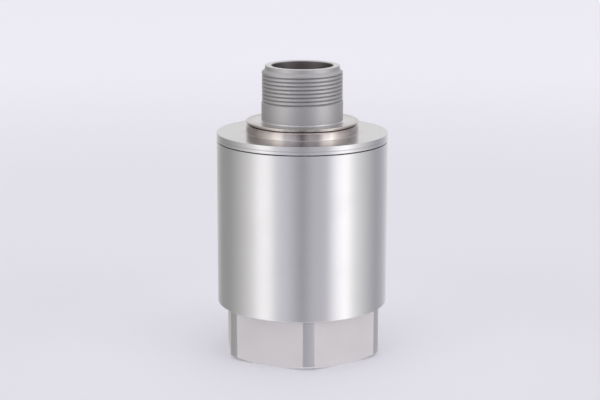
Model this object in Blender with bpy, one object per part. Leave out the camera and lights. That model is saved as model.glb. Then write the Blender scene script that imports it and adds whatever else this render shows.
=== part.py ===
"""A moving-coil vibration velocity sensor: a turned steel housing with a hexagon foot, a flanged
connector on its cover, and a spring-hung coil around a magnet inside.

Metres, +Z up along the sensing axis. The origin is at the middle of the foot's bottom face, and
one corner of the hexagon points along -Y. Sizes run from the inside out: the coil and magnet set
the element, the element sets the housing, and the stack above it sets the cover's height.
"""

import math

import bmesh
import bpy
from mathutils import Matrix, Vector

# Clearances
SEAT_GAP = 0.0003
SLIDE_FIT = 0.00015
SEAM_GAP = 0.0002
SEAL_FIT = 0.0001

# Magnet system
MAGNET_DIAMETER = 0.014
MAGNET_HEIGHT = 0.005
POLE_OVERHANG = 0.0008
POLE_THICKNESS = 0.0022
POLE_STEP_HEIGHT = 0.0006
HUB_DIAMETER = 0.0052
AIR_GAP = 0.0005

# Moving coil
FORMER_WALL = 0.0005
FORMER_FLANGE = 0.0005
WINDING_DEPTH = 0.00135
FLANGE_OVER_WINDING = 0.0003
COIL_TRAVEL = 0.001

# Leaf springs
SPRING_THICKNESS = 0.0002
SPRING_RIM_WIDTH = 0.0013
SPRING_HOLE_DIAMETER = 0.0024
SPRING_ARM_WIDTH = 0.0009
SPRING_ARM_SWEEP = math.radians(130)
SPRING_ARMS = 3
SPRING_ARM_STEPS = 8
CLAMP_WASHER_HEIGHT = 0.0006

# Element case and caps
COIL_TO_CASE = 0.0013
CASE_WALL = 0.0008
CASE_LIP_THICKNESS = 0.0006
CASE_LIP_REACH = 0.001
CAP_THICKNESS = 0.0018
CAP_SEAL_SECTION = 0.0006
TERMINAL_SPACING = 0.012
TERMINAL_DIAMETER = 0.001
TERMINAL_COLLAR = 0.0018
TERMINAL_COLLAR_HEIGHT = 0.0006

# Housing
ROOM_ROUND_ELEMENT = 0.0023
BODY_WALL = 0.002
POCKET_DEPTH = 0.002
EDGE_BREAK = 0.0002
HEX_ACROSS_FLATS = 0.0295
FOOT_STEP = 0.0006
HEX_HEIGHT = 0.0099
FOOT_RIM_HEIGHT = 0.0003
FOOT_CHAMFER = 0.0011
FOOT_CHAMFER_HEIGHT = 0.0004
FLOOR_OVER_HEX = 0.0027
STUD_HOLE_DIAMETER = 0.0086
STUD_HOLE_WEB = 0.0008
STUD_HOLE_CHAMFER = 0.0007
DRILL_POINT = math.radians(118)

# Pieces stacked above the element
CUSHION_THICKNESS = 0.0006
CLAMP_RING_HEIGHT = 0.0023
BOARD_THICKNESS = 0.001
BOARD_HEADROOM = 0.0032
SCREW_DIAMETER = 0.0018
SCREW_HEAD_DIAMETER = 0.0035
SCREW_HEAD_HEIGHT = 0.0011
SCREW_LENGTH = 0.0028
SCREW_SLOT_WIDTH = 0.0005
SCREW_LAND = 0.0016
BOARD_SCREWS = 3
RESISTOR_DIAMETER = 0.0018
RESISTOR_LENGTH = 0.006
RESISTOR_WIRE = 0.0006
RESISTOR_WIRE_REACH = 0.0012
LEAD_DIAMETER = 0.001
LEAD_INSET = 0.0041

# Cover
COVER_THICKNESS = 0.0016
COVER_BOSS_HEIGHT = 0.0017
COVER_BOSS_ROUND = 0.0005
COVER_SPIGOT_LENGTH = 0.0027
COVER_SPIGOT_WALL = 0.00225
COVER_SEAL_SECTION = 0.001
WELD_LINE_HEIGHT = 0.00062
WELD_LINE_DEPTH = 0.00012

# Connector
THREAD_DIAMETER = 0.016
THREAD_LENGTH = 0.00585
THREAD_PITCH = 0.00075
THREAD_DEPTH = 0.00046
THREAD_RUNOUT = 0.00015
LEAD_CHAMFER = 0.0006
LEAD_CHAMFER_HEIGHT = 0.0005
LIP_HEIGHT = 0.00075
LIP_WALL = 0.0013
NECK_OVER_THREAD = 0.0001
NECK_LENGTH = 0.0039
NECK_FILLET = 0.0002
CONNECTOR_FLANGE_REACH = 0.0031
CONNECTOR_FLANGE_THICKNESS = 0.0003
CONNECTOR_SPIGOT_LENGTH = 0.003
CONNECTOR_SPIGOT_WALL = 0.0023
INSERT_LEDGE = 0.0009
INSERT_LEDGE_HEIGHT = 0.0014
INSERT_THICKNESS = 0.003
INSERT_KEYWAY_WIDTH = 0.0012
INSERT_KEYWAY_DEPTH = 0.0008
LOCK_RING_HEIGHT = 0.0006
LOCK_RING_WIDTH = 0.0008
PIN_COUNT = 4
PIN_CIRCLE_DIAMETER = 0.0046
PIN_DIAMETER = 0.001
PIN_REACH = 0.0021
PIN_COLLAR_DIAMETER = 0.0016
PIN_COLLAR_HEIGHT = 0.0006
SOLDER_CUP_LENGTH = 0.0018

# Facets round the turned pieces
BODY_FACETS = 56
CONNECTOR_FACETS = 44
RING_FACETS = 40
ELEMENT_FACETS = 24
SMALL_FACETS = 10
SEAL_FACETS = 6
FILLET_STEPS = 3

# Radii of the moving coil and its element, from the magnet outwards
magnet_r = MAGNET_DIAMETER / 2
hub_r = HUB_DIAMETER / 2
pole_r = magnet_r + POLE_OVERHANG
former_bore_r = pole_r + AIR_GAP
former_r = former_bore_r + FORMER_WALL
winding_bore_r = former_r + SLIDE_FIT
winding_r = winding_bore_r + WINDING_DEPTH
flange_r = winding_r + FLANGE_OVER_WINDING
case_bore_r = flange_r + COIL_TO_CASE
element_r = case_bore_r + CASE_WALL
cap_r = case_bore_r - SLIDE_FIT
case_lip_r = case_bore_r - CASE_LIP_REACH

# Heights in the element above and below its middle
magnet_end = MAGNET_HEIGHT / 2
pole_start = magnet_end + SEAT_GAP
pole_end = pole_start + POLE_THICKNESS
step_end = pole_end + POLE_STEP_HEIGHT
spring_start = step_end + SEAT_GAP
spring_end = spring_start + SPRING_THICKNESS
washer_start = spring_end + SEAT_GAP
washer_end = washer_start + CLAMP_WASHER_HEIGHT
cap_face = washer_end + COIL_TRAVEL + SEAT_GAP
cap_end = cap_face + CAP_THICKNESS
lip_start = cap_end + SEAT_GAP
element_end = lip_start + CASE_LIP_THICKNESS

# Housing
body_bore_r = element_r + ROOM_ROUND_ELEMENT
body_r = body_bore_r + BODY_WALL
pocket_r = element_r + SLIDE_FIT
foot_r = body_r - FOOT_STEP
pocket_floor = HEX_HEIGHT + FLOOR_OVER_HEX
stud_hole_r = STUD_HOLE_DIAMETER / 2
stud_hole_depth = pocket_floor - STUD_HOLE_WEB - stud_hole_r / math.tan(DRILL_POINT / 2)

# Levels of the stack
element_middle = pocket_floor + SEAT_GAP + element_end
cushion_bottom = element_middle + element_end + SEAT_GAP
cushion_top = cushion_bottom + CUSHION_THICKNESS
clamp_bottom = cushion_top + SEAT_GAP
clamp_top = clamp_bottom + CLAMP_RING_HEIGHT
board_bottom = clamp_top + SEAT_GAP
board_top = board_bottom + BOARD_THICKNESS
cover_bottom = board_top + BOARD_HEADROOM
body_top = cover_bottom - SEAM_GAP
cover_top = cover_bottom + COVER_THICKNESS
boss_top = cover_top + COVER_BOSS_HEIGHT

# Cover and the pieces that its spigot clears
cover_spigot_r = body_bore_r - SLIDE_FIT
cover_spigot_bore_r = cover_spigot_r - COVER_SPIGOT_WALL
cover_seal_r = body_bore_r - SEAL_FIT - COVER_SEAL_SECTION / 2
board_r = cover_spigot_bore_r
screw_circle_r = cover_spigot_bore_r - SCREW_HEAD_DIAMETER / 2 - SEAT_GAP
clamp_bore_r = screw_circle_r - SCREW_LAND
lead_hole_y = board_r - LEAD_INSET

# Connector
thread_r = THREAD_DIAMETER / 2
lip_r = thread_r - LEAD_CHAMFER
socket_r = lip_r - LIP_WALL
rear_bore_r = socket_r - INSERT_LEDGE
neck_r = thread_r + NECK_OVER_THREAD
connector_flange_r = neck_r + CONNECTOR_FLANGE_REACH
connector_spigot_r = rear_bore_r + CONNECTOR_SPIGOT_WALL
connector_flange_bottom = boss_top + SEAT_GAP
connector_spigot_end = connector_flange_bottom - CONNECTOR_SPIGOT_LENGTH
connector_flange_top = connector_flange_bottom + CONNECTOR_FLANGE_THICKNESS
thread_bottom = connector_flange_top + NECK_LENGTH
thread_top = thread_bottom + THREAD_LENGTH
lip_bottom = thread_top + LEAD_CHAMFER_HEIGHT
lip_top = lip_bottom + LIP_HEIGHT
insert_ledge = connector_flange_bottom + INSERT_LEDGE_HEIGHT
insert_bottom = insert_ledge + SEAT_GAP
insert_top = insert_bottom + INSERT_THICKNESS
pin_circle_r = PIN_CIRCLE_DIAMETER / 2
pin_top = insert_top + PIN_REACH
collar_top = insert_bottom - SEAT_GAP
pin_bottom = collar_top - PIN_COLLAR_HEIGHT - SOLDER_CUP_LENGTH

STEEL = ("stainless_steel", (0.62, 0.61, 0.60), 0.32, 1.0)
NICKEL = ("nickel_plate", (0.55, 0.53, 0.50), 0.30, 1.0)
SOFT_IRON = ("soft_iron", (0.36, 0.36, 0.37), 0.45, 1.0)
MAGNET_ALLOY = ("magnet_alloy", (0.45, 0.44, 0.43), 0.35, 1.0)
ALUMINIUM = ("aluminium", (0.77, 0.78, 0.79), 0.35, 1.0)
COPPER_WIRE = ("enamelled_copper", (0.52, 0.20, 0.07), 0.35, 1.0)
SPRING_BRONZE = ("spring_bronze", (0.62, 0.42, 0.20), 0.30, 1.0)
BLACK_PLASTIC = ("black_plastic", (0.025, 0.024, 0.023), 0.50, 0.0)
BROWN_INSULATOR = ("brown_insulator", (0.10, 0.055, 0.035), 0.45, 0.0)
SEAL_RUBBER = ("seal_rubber", (0.02, 0.02, 0.02), 0.75, 0.0)
GOLD_PLATE = ("gold_plate", (0.83, 0.62, 0.28), 0.22, 1.0)
BOARD_LAMINATE = ("board_laminate", (0.02, 0.16, 0.07), 0.45, 0.0)
RESISTOR_LACQUER = ("resistor_lacquer", (0.10, 0.30, 0.42), 0.35, 0.0)
LEAD_RED = ("lead_red", (0.50, 0.03, 0.025), 0.5, 0.0)
LEAD_BLACK = ("lead_black", (0.02, 0.02, 0.022), 0.5, 0.0)


def clear_scene():
    for obj in list(bpy.data.objects):
        bpy.data.objects.remove(obj, do_unlink=True)


def material(look):
    name, colour, roughness, metallic = look
    made = bpy.data.materials.get(name)
    if made:
        return made
    made = bpy.data.materials.new(name)
    made.use_nodes = True
    shader = made.node_tree.nodes["Principled BSDF"]
    shader.inputs["Base Color"].default_value = (*colour, 1.0)
    shader.inputs["Roughness"].default_value = roughness
    shader.inputs["Metallic"].default_value = metallic
    made.diffuse_color = (*colour, 1.0)
    return made


def add_object(name, data, look):
    obj = bpy.data.objects.new(name, data)
    bpy.context.scene.collection.objects.link(obj)
    data.materials.append(material(look))
    return obj


def copy_of(obj, name):
    """Another piece of the same make, which shares the first one's mesh or curve."""
    made = bpy.data.objects.new(name, obj.data)
    bpy.context.scene.collection.objects.link(made)
    made.parent = obj.parent
    return made


def axis_point(name, height, parent=None):
    """An empty on the sensor's axis, which pieces are placed from."""
    empty = bpy.data.objects.new(name, None)
    bpy.context.scene.collection.objects.link(empty)
    empty.empty_display_size = body_r
    empty.location.z = height
    empty.parent = parent
    return empty


def mesh_object(name, bm, look):
    """The bmesh as an object, smooth except at its sharp edges, and the bmesh freed."""
    bmesh.ops.recalc_face_normals(bm, faces=bm.faces)
    mesh = bpy.data.meshes.new(name)
    bm.to_mesh(mesh)
    bm.free()
    mesh.shade_smooth()
    mesh.set_sharp_from_angle(angle=math.radians(35))
    return add_object(name, mesh, look)


def rounded(corners):
    """The outline's points. A corner given as (r, z, radius) becomes an arc of that radius."""
    points = []
    for i, corner in enumerate(corners):
        here = Vector(corner[:2])
        if len(corner) == 2:
            points.append(here)
            continue
        before = (Vector(corners[i - 1][:2]) - here).normalized()
        after = (Vector(corners[(i + 1) % len(corners)][:2]) - here).normalized()
        half = before.angle(after) / 2
        centre = here + (before + after).normalized() * corner[2] / math.sin(half)
        start = here + before * corner[2] / math.tan(half) - centre
        turn = start.angle_signed(here + after * corner[2] / math.tan(half) - centre)
        for step in range(FILLET_STEPS + 1):
            arm = Matrix.Rotation(-turn * step / FILLET_STEPS, 2) @ start
            points.append(centre + arm)
    return points


def turned_mesh(corners, facets):
    """A bmesh: the outline of (radius, height) corners spun about Z. An edge on the axis is left out."""
    bm = bmesh.new()
    verts = [bm.verts.new((p.x, 0, p.y)) for p in rounded(corners)]
    for a, b in zip(verts, verts[1:] + verts[:1]):
        if a.co.x > 0 or b.co.x > 0:
            bm.edges.new((a, b))
    bmesh.ops.spin(
        bm,
        geom=bm.verts[:] + bm.edges[:],
        axis=(0, 0, 1),
        cent=(0, 0, 0),
        angle=math.tau,
        steps=facets,
        use_merge=True,
    )
    bmesh.ops.remove_doubles(bm, verts=bm.verts, dist=1e-7)
    return bm


def turned(name, corners, look, facets):
    return mesh_object(name, turned_mesh(corners, facets), look)


def ring_corners(inner, outer, bottom, top):
    return [(inner, bottom), (outer, bottom), (outer, top), (inner, top)]


def helper(name, bm):
    """A cutter or a shape to be joined on: it takes part in a Boolean and is no piece itself."""
    bmesh.ops.recalc_face_normals(bm, faces=bm.faces)
    mesh = bpy.data.meshes.new(name)
    bm.to_mesh(mesh)
    bm.free()
    obj = bpy.data.objects.new(name, mesh)
    bpy.context.scene.collection.objects.link(obj)
    obj.hide_render = True
    obj.display_type = "WIRE"
    return obj


def combine(obj, operation, other):
    modifier = obj.modifiers.new(other.name, "BOOLEAN")
    modifier.operation = operation
    modifier.solver = "EXACT"
    modifier.object = other


def rods(places, radius, bottom, top, facets=SMALL_FACETS):
    """A bmesh of upright round rods at (x, y) places."""
    bm = bmesh.new()
    for x, y in places:
        bmesh.ops.create_cone(
            bm,
            cap_ends=True,
            segments=facets,
            radius1=radius,
            radius2=radius,
            depth=top - bottom,
            matrix=Matrix.Translation((x, y, (top + bottom) / 2)),
        )
    return bm


def on_circle(count, radius, first=0.0):
    """(x, y) places spread evenly on a circle, the first at this angle from +X."""
    angles = [first + math.tau * i / count for i in range(count)]
    return [(radius * math.cos(a), radius * math.sin(a)) for a in angles]


def tube_mesh(points, radius, sides):
    """A bmesh tube with flat ends along a path that lies in a plane holding the Z direction."""
    bm = bmesh.new()
    path = [Vector(p) for p in points]
    across = (path[-1] - path[0]).cross(Vector((0, 0, 1)))
    if across.length < 1e-9:
        across = Vector((1, 0, 0))
    across.normalize()
    rings = []
    for i, point in enumerate(path):
        ahead = (path[min(i + 1, len(path) - 1)] - path[max(i - 1, 0)]).normalized()
        up = across.cross(ahead)
        ring = []
        for k in range(sides):
            a = math.tau * k / sides
            ring.append(bm.verts.new(point + radius * (math.cos(a) * across + math.sin(a) * up)))
        rings.append(ring)
    for low, high in zip(rings, rings[1:]):
        for k in range(sides):
            n = (k + 1) % sides
            bm.faces.new((low[k], low[n], high[n], high[k]))
    bm.faces.new(rings[0])
    bm.faces.new(rings[-1])
    return bm


def smooth_path(points, steps):
    """Points along a Catmull-Rom curve through the given ones."""
    knots = [Vector(p) for p in points]
    knots = [2 * knots[0] - knots[1], *knots, 2 * knots[-1] - knots[-2]]
    path = []
    for a, b, c, d in zip(knots, knots[1:], knots[2:], knots[3:]):
        for step in range(steps):
            t = step / steps
            bend = (2 * a - 5 * b + 4 * c - d) * t * t + (3 * b - a - 3 * c + d) * t**3
            path.append(b + ((c - a) * t + bend) / 2)
    return [*path, knots[-2]]


def seal_corners(middle_r, level, section):
    """The round section of a seal ring, a regular polygon inside its circle."""
    r = section / 2
    turns = [math.tau * (k + 0.5) / SEAL_FACETS for k in range(SEAL_FACETS)]
    return [(middle_r + r * math.cos(t), level + r * math.sin(t)) for t in turns]


def hexagon_cutter():
    """What lies outside the hexagon between the foot's rim and the body's shoulder."""
    bm = bmesh.new()
    sharp_r = HEX_ACROSS_FLATS / 2 / math.cos(math.pi / 6)
    loops = []
    for radius in (sharp_r, 2 * body_r):
        for level in (FOOT_RIM_HEIGHT, HEX_HEIGHT):
            places = on_circle(6, radius, -math.pi / 2)
            loops.append([bm.verts.new((x, y, level)) for x, y in places])
    inner_low, inner_high, outer_low, outer_high = loops
    for a, b in (
        (inner_low, inner_high),
        (inner_high, outer_high),
        (outer_high, outer_low),
        (outer_low, inner_low),
    ):
        for k in range(6):
            n = (k + 1) % 6
            bm.faces.new((a[k], a[n], b[n], b[k]))
    return helper("hexagon_cutter", bm)


def make_housing():
    """One turned cup bored from the top, its foot milled to a hexagon with round corners."""
    corners = [
        (stud_hole_r + STUD_HOLE_CHAMFER, 0),
        (foot_r - FOOT_CHAMFER, 0),
        (foot_r - FOOT_CHAMFER, FOOT_RIM_HEIGHT),
        (foot_r, FOOT_RIM_HEIGHT + FOOT_CHAMFER_HEIGHT),
        (foot_r, HEX_HEIGHT),
        (body_r - EDGE_BREAK, HEX_HEIGHT),
        (body_r, HEX_HEIGHT + EDGE_BREAK),
        (body_r, body_top - EDGE_BREAK),
        (body_r - EDGE_BREAK, body_top),
        (body_bore_r, body_top),
        (body_bore_r, pocket_floor + POCKET_DEPTH),
        (pocket_r, pocket_floor + POCKET_DEPTH),
        (pocket_r, pocket_floor),
        (0, pocket_floor),
        (0, pocket_floor - STUD_HOLE_WEB),
        (stud_hole_r, stud_hole_depth),
        (stud_hole_r, STUD_HOLE_CHAMFER),
    ]
    housing = turned("housing", corners, STEEL, BODY_FACETS)
    combine(housing, "DIFFERENCE", hexagon_cutter())


def make_cover():
    """The lid with its welding boss, its weld line and the grooved spigot that centres it."""
    hole_r = connector_spigot_r + SLIDE_FIT
    spigot_end = cover_bottom - COVER_SPIGOT_LENGTH
    groove_half = COVER_SEAL_SECTION / 2 + SLIDE_FIT
    groove_level = cover_bottom - COVER_SPIGOT_LENGTH / 2
    groove_r = cover_seal_r - COVER_SEAL_SECTION / 2 - SEAL_FIT
    weld_line = cover_bottom + WELD_LINE_HEIGHT
    corners = [
        (hole_r, cover_bottom),
        (cover_spigot_bore_r, cover_bottom),
        (cover_spigot_bore_r, spigot_end),
        (cover_spigot_r - EDGE_BREAK, spigot_end),
        (cover_spigot_r, spigot_end + EDGE_BREAK),
        (cover_spigot_r, groove_level - groove_half),
        (groove_r, groove_level - groove_half),
        (groove_r, groove_level + groove_half),
        (cover_spigot_r, groove_level + groove_half),
        (cover_spigot_r, cover_bottom),
        (body_r, cover_bottom),
        (body_r, weld_line - WELD_LINE_DEPTH),
        (body_r - WELD_LINE_DEPTH, weld_line),
        (body_r, weld_line + WELD_LINE_DEPTH),
        (body_r, cover_top - EDGE_BREAK),
        (body_r - EDGE_BREAK, cover_top),
        (connector_flange_r, cover_top),
        (connector_flange_r, boss_top, COVER_BOSS_ROUND),
        (hole_r, boss_top),
    ]
    turned("top_cover", corners, STEEL, BODY_FACETS)
    seal = seal_corners(cover_seal_r, groove_level, COVER_SEAL_SECTION)
    turned("cover_seal_ring", seal, SEAL_RUBBER, RING_FACETS)


def thread_cutter():
    """The groove of the fine right-hand thread, swept along its helix.

    It starts behind the neck's left side and ends behind the lead chamfer, so that both ends lie at
    the back. It turns in steps from the middle of one facet of the turned piece to the next."""
    bm = bmesh.new()
    tip_r = thread_r - THREAD_DEPTH
    flank_r = thread_r + NECK_OVER_THREAD / 2
    clear_r = neck_r + SEAT_GAP
    half = (flank_r - tip_r) * math.tan(math.pi / 6)
    profile = [(tip_r, 0), (flank_r, -half), (clear_r, -half), (clear_r, half), (flank_r, half)]
    front = CONNECTOR_FACETS * 3 // 4
    first = CONNECTOR_FACETS * 3 // 8
    climb = THREAD_PITCH / CONNECTOR_FACETS
    level = thread_bottom + THREAD_RUNOUT - (front - first) * climb
    steps = front - first + math.floor((THREAD_LENGTH - THREAD_RUNOUT) / climb)
    rings = []
    for step in range(steps + 1):
        turn = math.tau * (first + step + 0.5) / CONNECTOR_FACETS
        ring = []
        for radius, rise in profile:
            place = (radius * math.cos(turn), radius * math.sin(turn), level + step * climb + rise)
            ring.append(bm.verts.new(place))
        rings.append(ring)
    for low, high in zip(rings, rings[1:]):
        for k in range(len(profile)):
            n = (k + 1) % len(profile)
            bm.faces.new((low[k], low[n], high[n], high[k]))
    bm.faces.new(rings[0])
    bm.faces.new(rings[-1])
    return helper("thread_cutter", bm)


def make_connector_shell():
    """The threaded receptacle with its flange and rear spigot."""
    corners = [
        (rear_bore_r, connector_spigot_end),
        (connector_spigot_r, connector_spigot_end),
        (connector_spigot_r, connector_flange_bottom),
        (connector_flange_r, connector_flange_bottom),
        (connector_flange_r, connector_flange_top),
        (neck_r, connector_flange_top, NECK_FILLET),
        (neck_r, thread_bottom),
        (thread_r, thread_bottom + NECK_OVER_THREAD),
        (thread_r, thread_top),
        (lip_r, lip_bottom),
        (lip_r, lip_top),
        (socket_r + EDGE_BREAK, lip_top),
        (socket_r, lip_top - EDGE_BREAK),
        (socket_r, insert_ledge),
        (rear_bore_r, insert_ledge),
    ]
    shell = turned("connector_shell", corners, NICKEL, CONNECTOR_FACETS)
    combine(shell, "DIFFERENCE", thread_cutter())


def make_connector_inside():
    """The keyed insulating insert, the ring that locks it and the contact pins through it."""
    insert_r = socket_r - SLIDE_FIT
    pin_places = on_circle(PIN_COUNT, pin_circle_r)
    corners = [(0, insert_bottom), (insert_r, insert_bottom), (insert_r, insert_top), (0, insert_top)]
    insert = turned("connector_insert", corners, BROWN_INSULATOR, CONNECTOR_FACETS // 2)
    pin_hole_r = PIN_DIAMETER / 2 + SLIDE_FIT
    holes = rods(pin_places, pin_hole_r, insert_bottom - SEAT_GAP, insert_top + SEAT_GAP)
    combine(insert, "DIFFERENCE", helper("insert_pin_holes", holes))
    keyway = bmesh.new()
    size = (INSERT_KEYWAY_WIDTH, 2 * INSERT_KEYWAY_DEPTH, 2 * INSERT_THICKNESS)
    place = Matrix.Translation((0, -insert_r, insert_top))
    bmesh.ops.create_cube(keyway, size=1, matrix=place @ Matrix.Diagonal((*size, 1)))
    combine(insert, "DIFFERENCE", helper("insert_keyway_cutter", keyway))

    ring_bottom = insert_top + SEAT_GAP
    ring = ring_corners(
        insert_r - LOCK_RING_WIDTH, insert_r, ring_bottom, ring_bottom + LOCK_RING_HEIGHT
    )
    turned("insert_lock_ring", ring, NICKEL, CONNECTOR_FACETS // 2)

    pin_r = PIN_DIAMETER / 2
    collar_bottom = collar_top - PIN_COLLAR_HEIGHT
    pin = [
        (0, pin_bottom),
        (pin_r + SLIDE_FIT, pin_bottom),
        (pin_r + SLIDE_FIT, collar_bottom),
        (PIN_COLLAR_DIAMETER / 2, collar_bottom),
        (PIN_COLLAR_DIAMETER / 2, collar_top),
        (pin_r, collar_top),
        (pin_r, pin_top - pin_r),
        (pin_r * math.cos(math.pi / 4), pin_top - pin_r * (1 - math.sin(math.pi / 4))),
        (0, pin_top),
    ]
    pins = [turned("contact_pin_1", pin, GOLD_PLATE, SMALL_FACETS)]
    pins += [copy_of(pins[0], f"contact_pin_{number}") for number in range(2, PIN_COUNT + 1)]
    for made, (x, y) in zip(pins, pin_places):
        made.location = (x, y, 0)


def turned_pair(name, corners, look, carrier):
    """A piece in the element's upper half, and below it the same piece turned over."""
    upper = turned(f"{name}_upper", corners, look, ELEMENT_FACETS)
    upper.parent = carrier
    lower = copy_of(upper, f"{name}_lower")
    lower.rotation_euler.x = math.pi
    return upper, lower


def make_element_case(element):
    """A steel tube rolled in over the caps at both ends."""
    corners = [
        (case_bore_r, -lip_start),
        (case_lip_r, -lip_start),
        (case_lip_r, -element_end),
        (element_r, -element_end, CASE_LIP_THICKNESS),
        (element_r, element_end, CASE_LIP_THICKNESS),
        (case_lip_r, element_end),
        (case_lip_r, lip_start),
        (case_bore_r, lip_start),
    ]
    turned("element_case", corners, STEEL, ELEMENT_FACETS).parent = element


def make_element_caps(element):
    """The two plastic caps with their hub bosses and seal rings, and the terminal posts in the top one."""
    seal_r = case_bore_r - SEAL_FIT - CAP_SEAL_SECTION / 2
    groove_r = seal_r - CAP_SEAL_SECTION / 2 - SEAL_FIT
    groove_half = CAP_SEAL_SECTION / 2 + SLIDE_FIT
    level = (cap_face + cap_end) / 2
    boss_end = spring_end + SEAT_GAP
    corners = [
        (0, cap_end),
        (cap_r, cap_end),
        (cap_r, level + groove_half),
        (groove_r, level + groove_half),
        (groove_r, level - groove_half),
        (cap_r, level - groove_half),
        (cap_r, cap_face),
        (hub_r, cap_face),
        (hub_r, boss_end),
        (0, boss_end),
    ]
    upper, _ = turned_pair("cap", corners, BLACK_PLASTIC, element)
    seal = seal_corners(seal_r, level, CAP_SEAL_SECTION)
    turned_pair("cap_seal_ring", seal, SEAL_RUBBER, element)

    places = on_circle(2, TERMINAL_SPACING / 2)
    post_r = TERMINAL_DIAMETER / 2
    collar_bottom = cap_end + SEAT_GAP
    collar_top = collar_bottom + TERMINAL_COLLAR_HEIGHT
    post_top = board_top + SEAT_GAP - element_middle
    cutter = helper("terminal_holes", rods(places, post_r + SLIDE_FIT, level - SEAT_GAP, collar_bottom))
    cutter.parent = element
    combine(upper, "DIFFERENCE", cutter)
    corners = [
        (0, level),
        (post_r, level),
        (post_r, collar_bottom),
        (TERMINAL_COLLAR / 2, collar_bottom),
        (TERMINAL_COLLAR / 2, collar_top),
        (post_r, collar_top),
        (post_r, post_top),
        (0, post_top),
    ]
    first = turned("element_terminal_1", corners, GOLD_PLATE, SMALL_FACETS)
    first.parent = element
    for post, (x, y) in zip((first, copy_of(first, "element_terminal_2")), places):
        post.location = (x, y, 0)


def make_magnet_system(element):
    """The bar magnet between two stepped pole pieces, held by the caps' bosses at their hubs."""
    magnet = [(0, -magnet_end), (magnet_r, -magnet_end), (magnet_r, magnet_end), (0, magnet_end)]
    turned("magnet", magnet, MAGNET_ALLOY, ELEMENT_FACETS).parent = element
    corners = [
        (0, pole_start),
        (pole_r - EDGE_BREAK, pole_start),
        (pole_r, pole_start + EDGE_BREAK),
        (pole_r, pole_end),
        (hub_r, pole_end),
        (hub_r, step_end),
        (0, step_end),
    ]
    turned_pair("pole_piece", corners, SOFT_IRON, element)


def make_moving_coil(coil_axis):
    """The aluminium former with its two windings, and the washers that hold the springs' rims."""
    web_half = FORMER_FLANGE / 2
    flange_start = step_end - FORMER_FLANGE
    corners = [
        (former_bore_r, -step_end),
        (flange_r, -step_end),
        (flange_r, -flange_start),
        (former_r, -flange_start),
        (former_r, -web_half),
        (flange_r, -web_half),
        (flange_r, web_half),
        (former_r, web_half),
        (former_r, flange_start),
        (flange_r, flange_start),
        (flange_r, step_end),
        (former_bore_r, step_end),
    ]
    turned("coil_former", corners, ALUMINIUM, ELEMENT_FACETS).parent = coil_axis
    winding = ring_corners(
        winding_bore_r, winding_r, web_half + SLIDE_FIT, flange_start - SLIDE_FIT
    )
    washer = ring_corners(flange_r - SPRING_RIM_WIDTH, flange_r, washer_start, washer_end)
    turned_pair("coil", winding, COPPER_WIRE, coil_axis)
    turned_pair("clamp_washer", washer, SPRING_BRONZE, coil_axis)


def arm_edge(share, side):
    """(radius, angle) on one side of a leaf spring's arm, this share of the way out to the rim."""
    reach = flange_r - SPRING_RIM_WIDTH - hub_r
    radius = hub_r + reach * share
    slant = math.hypot(reach, radius * SPRING_ARM_SWEEP) / reach
    return radius, SPRING_ARM_SWEEP * share + side * SPRING_ARM_WIDTH / 2 * slant / radius


def arc(start, end, pieces):
    """The points between two (radius, angle) ones on the same circle."""
    step = (end[1] - start[1]) / pieces
    return [(start[0], start[1] + step * k) for k in range(1, pieces)]


def spring_window(first):
    """The outline between two neighbouring arms of a leaf spring, starting at this angle."""
    shares = [i / SPRING_ARM_STEPS for i in range(SPRING_ARM_STEPS + 1)]
    outward = [arm_edge(share, 1) for share in shares]
    next_arm = [arm_edge(share, -1) for share in reversed(shares)]
    inward = [(radius, angle + math.tau / SPRING_ARMS) for radius, angle in next_arm]
    points = outward + arc(outward[-1], inward[0], 5) + inward + arc(inward[-1], outward[0], 4)
    return [(r * math.cos(a + first), r * math.sin(a + first)) for r, a in points]


def make_leaf_springs(element):
    """Flat springs: a rim on the former, a hub on the magnet's axis and spiral arms between them."""
    curve = bpy.data.curves.new("leaf_spring", "CURVE")
    curve.dimensions = "2D"
    curve.fill_mode = "BOTH"
    curve.extrude = SPRING_THICKNESS / 2
    outlines = [
        on_circle(ELEMENT_FACETS, flange_r),
        on_circle(SMALL_FACETS, SPRING_HOLE_DIAMETER / 2),
    ]
    outlines += [spring_window(math.tau * k / SPRING_ARMS) for k in range(SPRING_ARMS)]
    for outline in outlines:
        spline = curve.splines.new("POLY")
        spline.points.add(len(outline) - 1)
        for point, (x, y) in zip(spline.points, outline):
            point.co = (x, y, 0, 1)
        spline.use_cyclic_u = True
    upper = add_object("leaf_spring_upper", curve, SPRING_BRONZE)
    upper.parent = element
    upper.location.z = (spring_start + spring_end) / 2
    lower = copy_of(upper, "leaf_spring_lower")
    lower.location.z = -upper.location.z
    lower.rotation_euler.x = math.pi


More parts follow.
